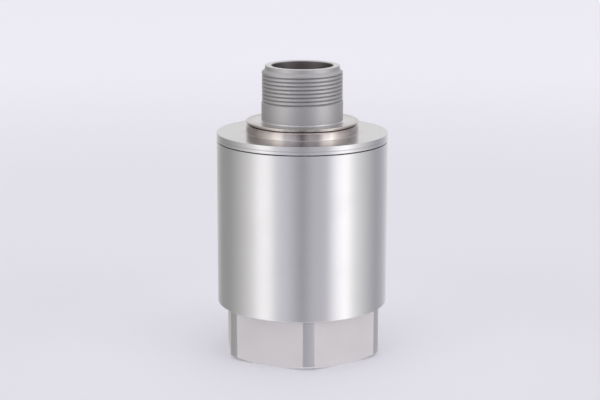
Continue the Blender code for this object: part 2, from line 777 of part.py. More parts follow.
def make_clamp_stack():
    """The cushion on the element, the ring screwed down on it and the board on the ring."""
    cushion = ring_corners(case_lip_r, element_r - CASE_LIP_THICKNESS, cushion_bottom, cushion_top)
    turned("cushion_ring", cushion, SEAL_RUBBER, ELEMENT_FACETS)
    screw_places = on_circle(BOARD_SCREWS, screw_circle_r)
    hole_r = SCREW_DIAMETER / 2 + SLIDE_FIT
    clamp = ring_corners(clamp_bore_r, body_bore_r - SLIDE_FIT, clamp_bottom, clamp_top)
    ring = turned("clamp_ring", clamp, STEEL, RING_FACETS)
    through = rods(screw_places, hole_r, clamp_bottom - SEAT_GAP, clamp_top + SEAT_GAP)
    combine(ring, "DIFFERENCE", helper("clamp_screw_holes", through))

    disc = [(0, board_bottom), (board_r, board_bottom), (board_r, board_top), (0, board_top)]
    board = turned("terminal_board", disc, BOARD_LAMINATE, ELEMENT_FACETS)
    small_r = max(TERMINAL_DIAMETER, LEAD_DIAMETER) / 2 + SLIDE_FIT
    low, high = board_bottom - SEAT_GAP, board_top + SEAT_GAP
    small = on_circle(2, TERMINAL_SPACING / 2) + [(0, lead_hole_y), (0, -lead_hole_y)]
    combine(board, "DIFFERENCE", helper("board_small_holes", rods(small, small_r, low, high)))
    combine(board, "DIFFERENCE", helper("board_screw_holes", rods(screw_places, hole_r, low, high)))
    make_board_screws(screw_places)


def make_board_screws(places):
    """Slotted cheese-head screws through the board into the clamp ring."""
    head_bottom = board_top + SEAT_GAP
    head_top = head_bottom + SCREW_HEAD_HEIGHT
    shank_r = SCREW_DIAMETER / 2
    head_r = SCREW_HEAD_DIAMETER / 2
    corners = [
        (0, head_bottom - SCREW_LENGTH),
        (shank_r, head_bottom - SCREW_LENGTH),
        (shank_r, head_bottom),
        (head_r, head_bottom),
        (head_r, head_top),
        (0, head_top),
    ]
    for number, (x, y) in enumerate(places, start=1):
        screw = turned(f"board_screw_{number}", corners, STEEL, SMALL_FACETS)
        screw.location = (x, y, 0)
        slot = bmesh.new()
        size = (3 * head_r, SCREW_SLOT_WIDTH, SCREW_HEAD_HEIGHT)
        place = Matrix.Translation((x, y, head_top))
        bmesh.ops.create_cube(slot, size=1, matrix=place @ Matrix.Diagonal((*size, 1)))
        combine(screw, "DIFFERENCE", helper(f"screw_slot_{number}", slot))


def make_resistors():
    """Two axial resistors that set the output, each with its bent wires as one piece."""
    end_r = RESISTOR_DIAMETER / 2
    waist_r = end_r * 0.75
    wire_r = RESISTOR_WIRE / 2
    axis = board_top + SEAT_GAP + end_r
    half = RESISTOR_LENGTH / 2
    corners = [
        (0, -half),
        (end_r, -half + EDGE_BREAK),
        (end_r, end_r - half),
        (waist_r, 2 * end_r - half),
        (waist_r, half - 2 * end_r),
        (end_r, half - end_r),
        (end_r, half - EDGE_BREAK),
        (0, half),
    ]
    foot = half + RESISTOR_WIRE_REACH
    bend = RESISTOR_WIRE
    for number, x in enumerate((-TERMINAL_SPACING / 4, TERMINAL_SPACING / 4), start=1):
        resistor = turned(f"resistor_{number}", corners, RESISTOR_LACQUER, SMALL_FACETS)
        resistor.location = (x, 0, axis)
        resistor.rotation_euler = (math.pi / 2, 0, 0)
        path = [(x, -foot, board_top + SEAT_GAP), (x, -foot, axis - bend)]
        path += [(x, -foot + bend / 3, axis - bend / 3), (x, -foot + bend, axis)]
        path += [(x, -y, z) for _, y, z in reversed(path)]
        wire = helper(f"resistor_wire_{number}", tube_mesh(path, wire_r, SEAL_FACETS))
        combine(resistor, "UNION", wire)


def make_signal_leads():
    """Insulated leads from the board up through the cover to two of the pins."""
    mouth_y = (pin_circle_r + rear_bore_r - LEAD_DIAMETER / 2 - SEAT_GAP) / 2
    slack_z = (board_top + connector_spigot_end + LEAD_DIAMETER) / 2
    for number, (side, look) in enumerate(((-1, LEAD_RED), (1, LEAD_BLACK)), start=1):
        knots = [
            (0, side * lead_hole_y, board_bottom + SEAT_GAP),
            (0, side * lead_hole_y, board_top + LEAD_DIAMETER),
            (0, side * (lead_hole_y + mouth_y) / 2, slack_z),
            (0, side * mouth_y, connector_spigot_end),
            (0, side * pin_circle_r, pin_bottom - SEAT_GAP),
        ]
        curve = bpy.data.curves.new(f"signal_lead_{number}", "CURVE")
        curve.dimensions = "3D"
        curve.bevel_depth = LEAD_DIAMETER / 2
        curve.bevel_resolution = 2
        curve.use_fill_caps = True
        spline = curve.splines.new("POLY")
        path = smooth_path(knots, 4)
        spline.points.add(len(path) - 1)
        for point, place in zip(spline.points, path):
            point.co = (*place, 1)
        add_object(f"signal_lead_{number}", curve, look)


def main():
    clear_scene()
    make_housing()
    make_cover()
    make_connector_shell()
    make_connector_inside()
    element = axis_point("element_axis", element_middle)
    make_element_case(element)
    make_element_caps(element)
    make_magnet_system(element)
    make_moving_coil(axis_point("moving_coil_axis", 0, element))
    make_leaf_springs(element)
    make_clamp_stack()
    make_resistors()
    make_signal_leads()


main()
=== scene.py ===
"""A vibration velocity sensor: finely turned pieces, their finishes and a pale studio, built around the
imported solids. Outlines are (radius, height) corners in millimetres, as on a turner's drawing."""

import math

import bpy
from bpy.props import FloatProperty, FloatVectorProperty, IntProperty, PointerProperty
from mathutils import Euler, Matrix, Vector


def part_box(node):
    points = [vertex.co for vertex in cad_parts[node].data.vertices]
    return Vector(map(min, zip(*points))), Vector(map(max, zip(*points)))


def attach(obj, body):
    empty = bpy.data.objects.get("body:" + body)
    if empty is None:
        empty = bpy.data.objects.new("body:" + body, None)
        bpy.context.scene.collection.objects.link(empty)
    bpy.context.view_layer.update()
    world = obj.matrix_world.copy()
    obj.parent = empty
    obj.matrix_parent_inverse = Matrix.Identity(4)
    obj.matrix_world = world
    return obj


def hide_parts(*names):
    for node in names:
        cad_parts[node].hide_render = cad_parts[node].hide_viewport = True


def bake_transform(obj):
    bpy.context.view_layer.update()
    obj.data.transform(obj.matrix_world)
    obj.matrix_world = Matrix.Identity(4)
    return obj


bl_info = {
    "name": "Vibration Velocity Sensor",
    "version": (1, 0, 0),
    "blender": (4, 5, 0),
    "location": "View3D > Sidebar > Sensor",
    "description": "Turns, finishes and lights a moving-coil vibration sensor",
    "category": "Add Mesh",
}

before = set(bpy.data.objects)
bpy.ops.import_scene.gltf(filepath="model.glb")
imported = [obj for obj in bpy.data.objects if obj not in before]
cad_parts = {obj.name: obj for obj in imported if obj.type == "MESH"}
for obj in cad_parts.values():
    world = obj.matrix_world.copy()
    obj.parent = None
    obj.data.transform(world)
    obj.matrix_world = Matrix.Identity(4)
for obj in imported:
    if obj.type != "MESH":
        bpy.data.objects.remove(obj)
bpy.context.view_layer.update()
MM = 0.001
SENSOR = "sensor_body"
COIL = "moving_coil"
MERGE = 1e-6
FILLET_STEPS = 4

# The studio's light seen from the sensor: (degrees from the camera towards the right, level, blueness)
STUDIO_ROUND = (
    (-180, 0.88, 1.0),
    (-160, 0.75, 1.0),
    (-140, 0.42, 1.0),
    (-112, 0.42, 1.0),
    (-90, 0.66, 1.0),
    (-72, 0.98, 1.0),
    (-58, 1.55, 1.0),
    (-44, 1.45, 1.0),
    (-36, 0.9, 1.08),
    (-16, 0.64, 1.12),
    (0, 0.25, 1.12),
    (16, 0.6, 1.12),
    (33, 0.6, 1.1),
    (46, 1.42, 1.04),
    (62, 1.85, 1.0),
    (76, 1.12, 1.0),
    (95, 0.76, 1.02),
    (118, 0.45, 1.1),
    (138, 0.6, 1.08),
    (160, 0.9, 1.02),
    (180, 0.88, 1.0),
)


def box_mm(node):
    """(radius, bottom, top) of a solid that is turned about the sensor's axis, in millimetres."""
    low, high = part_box(node)
    return high.x / MM, low.z / MM, high.z / MM


CUP_R, _, CUP_TOP = box_mm("housing")
LID_R, SPIGOT_END, BOSS_TOP = box_mm("top_cover")
FLANGE_R, TAIL_END, RIM_TOP = box_mm("connector_shell")
INSERT_R, INSERT_LOW, INSERT_TOP = box_mm("connector_insert")
MAGNET_R, MAGNET_LOW, MAGNET_TOP = box_mm("magnet")
MIDDLE = (MAGNET_LOW + MAGNET_TOP) / 2
SHOULDER = 9.9
HUB_R = 2.6
SPRING_RIM = 1.3


def length(name, description, default):
    """A size property in metres, its default given in millimetres."""
    return FloatProperty(name=name, description=description, default=default * MM, unit="LENGTH", min=0)


def colour(name, description, default):
    """A colour property."""
    return FloatVectorProperty(
        name=name, description=description, default=default, subtype="COLOR", size=3, min=0, max=1
    )


def share(name, description, default):
    """A property between 0 and 1."""
    return FloatProperty(name=name, description=description, default=default, subtype="FACTOR", min=0, max=1)


class SensorSizes(bpy.types.PropertyGroup):
    """Sizes of the details that the solids leave plain."""

    around: IntProperty(name="Facets around", description="Facets round a turned piece", default=192, min=24)
    across_flats: length("Across flats", "Spanner size of the foot's hexagon", 29.5)
    thread_pitch: length("Connector pitch", "Pitch of the connector's thread", 0.75)
    thread_depth: length("Connector thread depth", "Depth of the connector's thread", 0.32)
    stud_pitch: length("Stud pitch", "Pitch of the stud hole's thread", 1.5)
    stud_major: length("Stud diameter", "Diameter of the mounting stud", 10.0)
    spring_arms: IntProperty(name="Spring arms", description="Arms of a leaf spring", default=3, min=2)
    flat_bevel: length("Flat bevel", "Width of the bevel along the edges of the spanner flats", 0.13)


class SensorLooks(bpy.types.PropertyGroup):
    """Colours and finishes."""

    steel: colour("Steel", "Turned stainless steel", (0.67, 0.665, 0.665))
    milled: colour("Milled steel", "The hexagon's milled flats", (0.69, 0.67, 0.675))
    lid: colour("Lid steel", "The lid's faced top", (0.62, 0.615, 0.615))
    straw: colour("Heat tint", "Tint that the weld leaves on the steel around it", (0.56, 0.515, 0.475))
    # Partly the weld's real oxide tint and partly painted: its darkness also stands in for the dark
    # reflection the polished boss shows
    plum: colour("Deep heat tint", "Darker tint next to the weld", (0.37, 0.32, 0.315))
    nickel: colour("Nickel", "The connector's plated shell", (0.53, 0.52, 0.52))
    # Painted shade: the bore's dark colour stands in for the shade deep inside the socket
    socket: colour("Socket", "The dulled bore of the connector", (0.26, 0.24, 0.24))
    insulator: colour("Insulator", "The moulded insert that holds the pins", (0.045, 0.030, 0.024))
    gold: colour("Gold", "Plated contacts", (0.83, 0.62, 0.28))
    iron: colour("Soft iron", "Pole pieces", (0.36, 0.36, 0.37))
    magnet: colour("Magnet", "Ground magnet alloy", (0.45, 0.44, 0.43))
    aluminium: colour("Aluminium", "The coil's former", (0.77, 0.78, 0.79))
    copper: colour("Copper wire", "Enamelled winding wire", (0.52, 0.20, 0.07))
    bronze: colour("Bronze", "Leaf springs and their washers", (0.62, 0.42, 0.20))
    black: colour("Black plastic", "The element's end caps", (0.025, 0.024, 0.023))
    rubber: colour("Rubber", "Seals and the cushion", (0.02, 0.02, 0.02))
    laminate: colour("Laminate", "The terminal board", (0.02, 0.16, 0.07))
    lacquer: colour("Lacquer", "The resistors' coating", (0.10, 0.30, 0.42))
    red: colour("Red lead", "Insulation of the first lead", (0.50, 0.03, 0.025))
    dark: colour("Black lead", "Insulation of the second lead", (0.02, 0.02, 0.022))
    turned_roughness: share("Turned roughness", "Roughness of the turned steel", 0.36)
    milled_roughness: share("Milled roughness", "Roughness of the milled flats", 0.68)
    lathe_streak: share("Lathe streak", "How far the turning lines stretch a highlight", 0.9)


class SensorStudio(bpy.types.PropertyGroup):
    """Floor, light and camera."""

    # Painted light and shade on the floor: the near floor is lighter to lift the sensor's contact shadow, the
    # floor around is darker and the far floor lighter
    floor_near_painted_light: colour("Near floor", "The pale floor next to the sensor", (0.86, 0.852, 0.896))
    floor_round_painted_shade: colour("Floor around", "The pale floor around it", (0.79, 0.783, 0.823))
    floor_far: colour("Far floor", "The pale floor far from it", (0.89, 0.882, 0.932))
    air: FloatProperty(name="Studio light", description="Strength of the light all round", default=1.0, min=0)
    top_light: FloatProperty(
        name="Top light", description="Power of the overhead light in watts", default=1.5, min=0, unit="POWER"
    )
    camera_turn: FloatProperty(
        name="Camera turn",
        description="How far the front corner of the hexagon is turned from the camera",
        default=math.radians(4.69),
        unit="ROTATION",
    )


def sizes():
    return bpy.context.scene.sensor_sizes


def looks():
    return bpy.context.scene.sensor_looks


def studio():
    return bpy.context.scene.sensor_studio


# Modelling


def deselect_all():
    """Leaves edit mode and selects nothing."""
    if bpy.context.object and bpy.context.object.mode != "OBJECT":
        bpy.ops.object.mode_set(mode="OBJECT")
    bpy.ops.object.select_all(action="DESELECT")


def pick(piece):
    """Makes this the one selected and active object."""
    deselect_all()
    piece.select_set(True)
    bpy.context.view_layer.objects.active = piece


def rounded(outline):
    """The outline's points. A corner given as (radius, height, fillet) becomes an arc."""
    points = []
    for i, corner in enumerate(outline):
        here = Vector(corner[:2])
        if len(corner) == 2:
            points.append(here)
            continue
        before = (Vector(outline[i - 1][:2]) - here).normalized()
        after = (Vector(outline[(i + 1) % len(outline)][:2]) - here).normalized()
        half = before.angle(after) / 2
        centre = here + (before + after).normalized() * corner[2] / math.sin(half)
        start = here + before * corner[2] / math.tan(half) - centre
        turn = start.angle_signed(here + after * corner[2] / math.tan(half) - centre)
        for step in range(FILLET_STEPS + 1):
            points.append(centre + Matrix.Rotation(-turn * step / FILLET_STEPS, 2) @ start)
    return points


def named(name):
    """The object just made, under this name, which its mesh gets too."""
    made = bpy.context.object
    made.name = name
    made.data.name = name
    return made


def close_on_axis(height):
    """Draws the selected ring of edges to a point on the axis."""
    bpy.ops.mesh.extrude_edges_move(TRANSFORM_OT_translate={"value": (0, 0, height)})
    bpy.ops.mesh.merge(type="CENTER")


def lathe(name, outline, around=None):
    """A turned piece: a circle walked along the outline by extruding and scaling it.

    The outline is closed, or starts and ends on the axis."""
    points = rounded(outline)
    on_axis = points[0].x == 0
    walk = points[1:-1] if on_axis else [*points, points[0]]
    deselect_all()
    bpy.ops.mesh.primitive_circle_add(
        vertices=around or sizes().around, radius=walk[0].x * MM, location=(0, 0, walk[0].y * MM)
    )
    piece = named(name)
    bpy.ops.object.mode_set(mode="EDIT")
    bpy.ops.mesh.select_all(action="SELECT")
    for here, there in zip(walk, walk[1:]):
        rise = (there.y - here.y) * MM
        bpy.ops.mesh.extrude_edges_move(TRANSFORM_OT_translate={"value": (0, 0, rise)})
        grow = there.x / here.x
        bpy.ops.transform.resize(value=(grow, grow, 1), center_override=(0, 0, there.y * MM))
    if on_axis:
        close_on_axis((points[-1].y - walk[-1].y) * MM)
        bpy.ops.mesh.select_all(action="DESELECT")
        bpy.ops.mesh.select_non_manifold()
        close_on_axis((points[0].y - walk[0].y) * MM)
    bpy.ops.mesh.select_all(action="SELECT")
    bpy.ops.mesh.remove_doubles(threshold=MERGE)
    bpy.ops.mesh.normals_make_consistent(inside=False)
    bpy.ops.object.mode_set(mode="OBJECT")
    bpy.ops.object.transform_apply()
    return piece


def screw_thread(name, tip, depth, bottom, pitch, turns, inward, first=0.0):
    """A closed ridge that climbs round the axis: the sixty-degree groove of a thread, as a cutter.

    Its first end lies at this angle from +X."""
    deselect_all()
    corner_r = depth / 1.5
    centre = tip + corner_r if inward else tip - corner_r
    bpy.ops.mesh.primitive_circle_add(
        vertices=3,
        radius=corner_r * MM,
        location=(centre * MM, 0, bottom * MM),
        rotation=(math.pi / 2, -math.pi / 2 if inward else math.pi / 2, 0),
    )
    cutter = named(name)
    bpy.ops.object.transform_apply()
    bpy.ops.object.modifier_add(type="SCREW")
    climb = cutter.modifiers[-1]
    climb.angle = math.tau * turns
    climb.screw_offset = pitch * turns * MM
    climb.steps = round(sizes().around / 2 * turns)
    climb.render_steps = climb.steps
    climb.merge_threshold = MERGE
    bpy.ops.object.modifier_apply(modifier=climb.name)
    bpy.ops.object.mode_set(mode="EDIT")
    bpy.ops.mesh.select_all(action="SELECT")
    bpy.ops.mesh.fill_holes(sides=0)
    bpy.ops.mesh.normals_make_consistent(inside=False)
    bpy.ops.object.mode_set(mode="OBJECT")
    cutter.rotation_euler.z = first
    bpy.ops.object.transform_apply()
    return cutter


def cut(piece, cutter):
    """Takes the cutter's shape out of the piece."""
    pick(piece)
    bpy.ops.object.modifier_add(type="BOOLEAN")
    boolean = piece.modifiers[-1]
    boolean.operation = "DIFFERENCE"
    boolean.solver = "EXACT"
    boolean.object = cutter
    bpy.ops.object.modifier_apply(modifier=boolean.name)
    bpy.data.objects.remove(cutter)


def bevel_edges(piece, width, test):
    """Bevels the edges whose two ends, in millimetres, pass the test."""
    pick(piece)
    bpy.context.tool_settings.mesh_select_mode = (False, True, False)
    bpy.ops.object.mode_set(mode="EDIT")
    bpy.ops.mesh.select_all(action="DESELECT")
    bpy.ops.object.mode_set(mode="OBJECT")
    mesh = piece.data
    for edge in mesh.edges:
        a, b = (mesh.vertices[v].co / MM for v in edge.vertices)
        edge.select = test(a, b)
    bpy.ops.object.mode_set(mode="EDIT")
    bpy.ops.mesh.bevel(offset=width, offset_type="OFFSET", segments=2, affect="EDGES")
    bpy.ops.object.mode_set(mode="OBJECT")


def turned_over(outline):
    """The same outline below the element's middle."""
    return [(corner[0], 2 * MIDDLE - corner[1], *corner[2:]) for corner in outline]


def ring_outline(inner_r, outer_r, low, high, fillet):
    """The outline of a plain ring with all four edges rounded alike."""
    corners = ((inner_r, low), (outer_r, low), (outer_r, high), (inner_r, high))
    return [(*corner, fillet) for corner in corners]


def block(place, size):
    """A rectangular cutter, with its middle and its size in millimetres."""
    deselect_all()
    bpy.ops.mesh.primitive_cube_add(size=1, location=[value * MM for value in place])
    bpy.context.object.scale = [value * MM for value in size]
    bpy.ops.object.transform_apply()
    return bpy.context.object


def rods(radius, bottom, top, places):
    """Upright round rods at (x, y) places as one cutter."""
    deselect_all()
    made = []
    for x, y in places:
        bpy.ops.mesh.primitive_cylinder_add(
            vertices=48,
            radius=radius * MM,
            depth=(top - bottom) * MM,
            location=(x * MM, y * MM, (top + bottom) / 2 * MM),
        )
        made.append(bpy.context.object)
    pick(made[0])
    for rod in made:
        rod.select_set(True)
    bpy.ops.object.join()
    bpy.ops.object.transform_apply()
    return bpy.context.object


def ring_places(count, radius):
    """(x, y) places spread evenly on a circle."""
    turns = [math.tau * k / count for k in range(count)]
    return [(radius * math.cos(t), radius * math.sin(t)) for t in turns]


def smooth(piece):
    """Smooth shading in which the wide faces stay flat right up to the narrow ones of their fillets."""
    pick(piece)
    bpy.ops.object.shade_smooth_by_angle(angle=math.radians(28))
    bpy.ops.object.modifier_add(type="WEIGHTED_NORMAL")
    weighted = piece.modifiers[-1]
    weighted.keep_sharp = True
    bpy.ops.object.modifier_apply(modifier=weighted.name)


def paint(piece, *rules):
    """Gives each face the first finish whose rule its middle (in millimetres) and normal pass."""
    for finish, _ in rules:
        piece.data.materials.append(finish)
    for face in piece.data.polygons:
        for index, (_, rule) in enumerate(rules):
            if rule is None or rule(face.center / MM, face.normal):
                face.material_index = index
                break


def settle(piece, slot, *nodes, body=SENSOR):
    """The painted piece rides on its body and stands for these solids, which are hidden. The slot is not
    used.
    """
    smooth(piece)
    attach(piece, body)
    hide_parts(*nodes)


def dress(piece, finish, slot, node, body=SENSOR):
    """Paints the whole piece with one finish and settles it."""
    paint(piece, (finish, None))
    settle(piece, slot, node, body=body)


def turned(name, outline, finish, slot, node, around=None, body=SENSOR):
    """A turned piece of one finish, settled in its solid's place."""
    dress(lathe(name, outline, around), finish, slot, node, body)


def middles(node, count):
    """The (x, y) middles of the solids with this name and a number, in millimetres."""
    boxes = [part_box(f"{node}_{number}") for number in range(1, count + 1)]
    return [(low.xy + high.xy) / MM / 2 for low, high in boxes]


def spread(piece, places, finish, slot, node):
    """Copies of a piece made on the axis, each with its own mesh at its (x, y) place, settled."""
    for number, (x, y) in enumerate(places, 1):
        pick(piece)
        bpy.ops.object.duplicate()
        bpy.ops.transform.translate(value=(x * MM, y * MM, 0))
        bpy.ops.object.transform_apply()
        dress(named(f"{piece.name}_{number}"), finish, slot, f"{node}_{number}")
    bpy.data.objects.remove(piece)


# Finishes

SOCKET_KINDS = {
    "Colour": "NodeSocketColor",
    "Straw": "NodeSocketColor",
    "Plum": "NodeSocketColor",
    "Normal": "NodeSocketVector",
}


def add(tree, kind, inputs=None, **settings):
    """A node with its settings and its inputs, each a value or another node's socket."""
    made = tree.nodes.new(kind)
    for key, value in settings.items():
        setattr(made, key, value)
    for key, value in (inputs or {}).items():
        if isinstance(value, bpy.types.NodeSocket):
            tree.links.new(value, made.inputs[key])
        else:
            made.inputs[key].default_value = value
    return made


def maths(tree, operation, *values, clamp=False):
    """The result of an operation on numbers."""
    inputs = dict(enumerate(values))
    return add(tree, "ShaderNodeMath", inputs, operation=operation, use_clamp=clamp).outputs[0]


def vector_maths(tree, operation, *values):
    """The result of an operation on vectors, which for some is a number."""
    made = add(tree, "ShaderNodeVectorMath", dict(enumerate(values)), operation=operation)
    is_number = operation in ("LENGTH", "DISTANCE", "DOT_PRODUCT")
    return made.outputs["Value" if is_number else "Vector"]


def scaled(tree, socket, factor):
    """A colour or vector times a number."""
    inputs = {0: socket, "Scale": factor}
    return add(tree, "ShaderNodeVectorMath", inputs, operation="SCALE").outputs[0]


def mix(tree, share_b, a, b):
    """Colour a with this share of colour b."""
    return add(tree, "ShaderNodeMix", {"Factor": share_b, 6: a, 7: b}, data_type="RGBA").outputs[2]


def noise(tree, place, scale, **inputs):
    """Noise between 0 and 1."""
    return add(tree, "ShaderNodeTexNoise", {"Vector": place, "Scale": scale, **inputs}).outputs["Fac"]


def way_between(tree, value, low, high, **settings):
    """How far a value has come from low to high, between 0 and 1."""
    inputs = {"Value": value, "From Min": low, "From Max": high}
    return add(tree, "ShaderNodeMapRange", inputs, **settings).outputs[0]


def ramp(tree, value, stops, interpolation="LINEAR"):
    """The colour at this value among (position, colour) stops."""
    made = add(tree, "ShaderNodeValToRGB", {"Fac": value})
    made.color_ramp.interpolation = interpolation
    elements = made.color_ramp.elements
    for end in (0, -1):
        elements[end].position = stops[end][0]
        elements[end].color = stops[end][1]
    for position, tone in stops[1:-1]:
        elements.new(position).color = tone
    return made.outputs["Color"]


def wire(tree, inputs, sockets):
    """Links each socket to the input of its name."""
    for name, socket in sockets.items():
        tree.links.new(socket, inputs[name])


def piece_space(tree):
    """A point's place in its piece, its height, its place without the height, its distance from the axis."""
    place = add(tree, "ShaderNodeTexCoord").outputs["Object"]
    apart = add(tree, "ShaderNodeSeparateXYZ", {0: place}).outputs
    flat = add(tree, "ShaderNodeCombineXYZ", {"X": apart["X"], "Y": apart["Y"]}).outputs[0]
    return place, apart["Z"], flat, vector_maths(tree, "LENGTH", flat)


def new_group(name, inputs, outputs):
    """An empty node group, its given sockets and the inputs of its output node."""
    tree = bpy.data.node_groups.new(name, "ShaderNodeTree")
    for way, labels in (("INPUT", inputs), ("OUTPUT", outputs)):
        for label in labels:
            kind = SOCKET_KINDS.get(label, "NodeSocketFloat")
            tree.interface.new_socket(label, in_out=way, socket_type=kind)
    return tree, tree.nodes.new("NodeGroupInput").outputs, tree.nodes.new("NodeGroupOutput").inputs


def new_pattern(name):
    """A group for a fine pattern in colour, roughness and normal."""
    inputs = ("Colour", "Roughness", "Spacing", "Contrast", "Depth")
    return new_group(name, inputs, ("Colour", "Roughness", "Normal"))


def show_pattern(tree, given, out, pattern):
    """Lets the pattern change the colour, the roughness and the normal."""
    swing = maths(tree, "MULTIPLY", maths(tree, "SUBTRACT", pattern, 0.5), given["Contrast"])
    bump = add(tree, "ShaderNodeBump", {"Height": pattern, "Distance": given["Depth"], "Strength": 1.0})
    sockets = {
        "Colour": scaled(tree, given["Colour"], maths(tree, "ADD", swing, 1.0)),
        "Roughness": maths(tree, "ADD", given["Roughness"], swing),
        "Normal": bump.outputs[0],
    }
    wire(tree, out, sockets)


def lathe_lines_group():
    """Fine lines that follow the turning."""
    tree, given, out = new_pattern("Lathe Lines")
    _, height, flat, radius = piece_space(tree)
    across = maths(tree, "DIVIDE", radius, given["Spacing"])
    along = maths(tree, "DIVIDE", height, given["Spacing"])
    lines = add(tree, "ShaderNodeCombineXYZ", {"X": across, "Z": along}).outputs[0]
    where = vector_maths(tree, "ADD", lines, scaled(tree, flat, 90.0))
    show_pattern(tree, given, out, noise(tree, where, 1.0, Detail=3.0, Roughness=0.65))
    return tree


def grit_group():
    """An even fine grain, for milled steel and moulded plastic."""
    tree, given, out = new_pattern("Fine Grit")
    place = add(tree, "ShaderNodeTexCoord").outputs["Object"]
    scale = maths(tree, "DIVIDE", 1.0, given["Spacing"])
    show_pattern(tree, given, out, noise(tree, place, scale, Detail=2.0))
    return tree


def handling_group():
    """Faint smears and specks that handling leaves: they change the colour and the roughness a little."""
    inputs = ("Colour", "Roughness", "Strength")
    tree, given, out = new_group("Handling Marks", inputs, ("Colour", "Roughness"))
    place = add(tree, "ShaderNodeTexCoord").outputs["Object"]
    smear = maths(tree, "MULTIPLY", noise(tree, place, 130.0, Detail=4.0, Distortion=0.6), 0.7)
    speck = maths(tree, "MULTIPLY", noise(tree, place, 2600.0, Detail=2.0), 0.3)
    both = maths(tree, "ADD", smear, speck)
    swing = maths(tree, "MULTIPLY", maths(tree, "SUBTRACT", both, 0.5), given["Strength"])
    sockets = {
        "Colour": scaled(tree, given["Colour"], maths(tree, "SUBTRACT", 1.0, swing)),
        "Roughness": maths(tree, "ADD", given["Roughness"], maths(tree, "MULTIPLY", swing, 2.0)),
    }
    wire(tree, out, sockets)
    return tree


def heat_tint_group():
    """The straw to plum tint that a weld leaves: strongest at one height and radius, fading away."""
    inputs = ("Colour", "Straw", "Plum", "Height", "Radius", "Reach", "Amount")
    tree, given, out = new_group("Heat Tint", inputs, ("Colour",))
    place, height, _, radius = piece_space(tree)
    off_r = maths(tree, "SUBTRACT", radius, given["Radius"])
    off_z = maths(tree, "SUBTRACT", height, given["Height"])
    off = add(tree, "ShaderNodeCombineXYZ", {"X": off_r, "Y": off_z}).outputs[0]
    cloud = maths(tree, "SUBTRACT", noise(tree, place, 260.0, Detail=3.0), 0.5)
    ragged = maths(tree, "MULTIPLY", cloud, given["Reach"])
    away = maths(tree, "ADD", vector_maths(tree, "LENGTH", off), ragged)
    far = maths(tree, "DIVIDE", away, given["Reach"])
    near = maths(tree, "SUBTRACT", 1.0, far, clamp=True)
    straw_share = maths(tree, "MULTIPLY", maths(tree, "MULTIPLY", near, 1.8, clamp=True), given["Amount"])
    plum_share = maths(tree, "MULTIPLY", maths(tree, "POWER", near, 3.0), given["Amount"])
    straw = mix(tree, straw_share, given["Colour"], given["Straw"])
    wire(tree, out, {"Colour": mix(tree, plum_share, straw, given["Plum"])})
    return tree


GROUPS = {
    "Lathe Lines": lathe_lines_group,
    "Handling Marks": handling_group,
    "Heat Tint": heat_tint_group,
    "Fine Grit": grit_group,
}


def use_group(tree, name, inputs):
    """A node that places a shared group, which is built the first time."""
    made = tree.nodes.new("ShaderNodeGroup")
    made.node_tree = bpy.data.node_groups.get(name) or GROUPS[name]()
    for key, value in inputs.items():
        if isinstance(value, bpy.types.NodeSocket):
            tree.links.new(value, made.inputs[key])
        elif hasattr(value, "__len__"):
            made.inputs[key].default_value = (*value, 1)
        else:
            made.inputs[key].default_value = value
    return made.outputs


def start_material(name, metallic, **constants):
    """(material, tree, shader's inputs) with the constant values set on the shader's own sockets."""
    made = bpy.data.materials.new(name)
    made.use_nodes = True
    inputs = made.node_tree.nodes["Principled BSDF"].inputs
    inputs["Metallic"].default_value = metallic
    for key, value in constants.items():
        inputs[key.replace("_", " ")].default_value = value
    return made, made.node_tree, inputs


def surface(
    name, pattern, base, roughness, metallic, marks, spacing, contrast, depth, tint=None, **constants
):
    """A material with handling marks, a fine pattern over them and, where it was welded, heat tint."""
    if name in bpy.data.materials:
        return bpy.data.materials[name]
    made, tree, shader = start_material(name, metallic, **constants)
    if tint:
        tinted = {"Colour": base, "Straw": looks().straw, "Plum": looks().plum, **tint}
        base = use_group(tree, "Heat Tint", tinted)["Colour"]
    marked = use_group(tree, "Handling Marks", {"Colour": base, "Roughness": roughness, "Strength": marks})
    given = {
        "Colour": marked["Colour"],
        "Roughness": marked["Roughness"],
        "Spacing": spacing * MM,
        "Contrast": contrast,
        "Depth": depth * MM,
    }
    shown = use_group(tree, pattern, given)
    names = {"Base Color": "Colour", "Roughness": "Roughness", "Normal": "Normal"}
    wire(tree, shader, {name: shown[socket] for name, socket in names.items()})
    return made


def metal(name, base, roughness, streak, tint=None, spacing=0.25, contrast=0.06, depth=0.002, marks=0.05):
    """A turned metal, whose lines stretch its highlights."""
    shine = {"Anisotropic": streak, "Anisotropic_Rotation": 0.25}
    return surface(
        name, "Lathe Lines", base, roughness, 1.0, marks, spacing, contrast, depth, tint, **shine
    )


def grained(name, base, roughness, metallic=0.0, spacing=0.12, contrast=0.06, depth=0.002, marks=0.06):
    """A material with an even fine grain."""
    return surface(name, "Fine Grit", base, roughness, metallic, marks, spacing, contrast, depth)


def weld_tint(height, radius, reach, amount):
    """Where a weld's tint lies, in millimetres, and how strong it is."""
    return {"Height": height * MM, "Radius": radius * MM, "Reach": reach * MM, "Amount": amount}


def turned_steel():
    return metal("turned_steel", looks().steel, looks().turned_roughness, looks().lathe_streak)


def bored_steel():
    return metal("bored_steel", looks().steel, 0.45, 0.6, spacing=0.4, contrast=0.1)


def plated_shell():
    return metal("plated_shell", looks().nickel, 0.58, 0.4, contrast=0.05)


def gold_plate():
    return metal("gold_plate", looks().gold, 0.2, 0.3, spacing=0.12, contrast=0.04)


def rolled_bronze():
    return metal("rolled_bronze", looks().bronze, 0.3, 0.4, spacing=0.3, contrast=0.08)


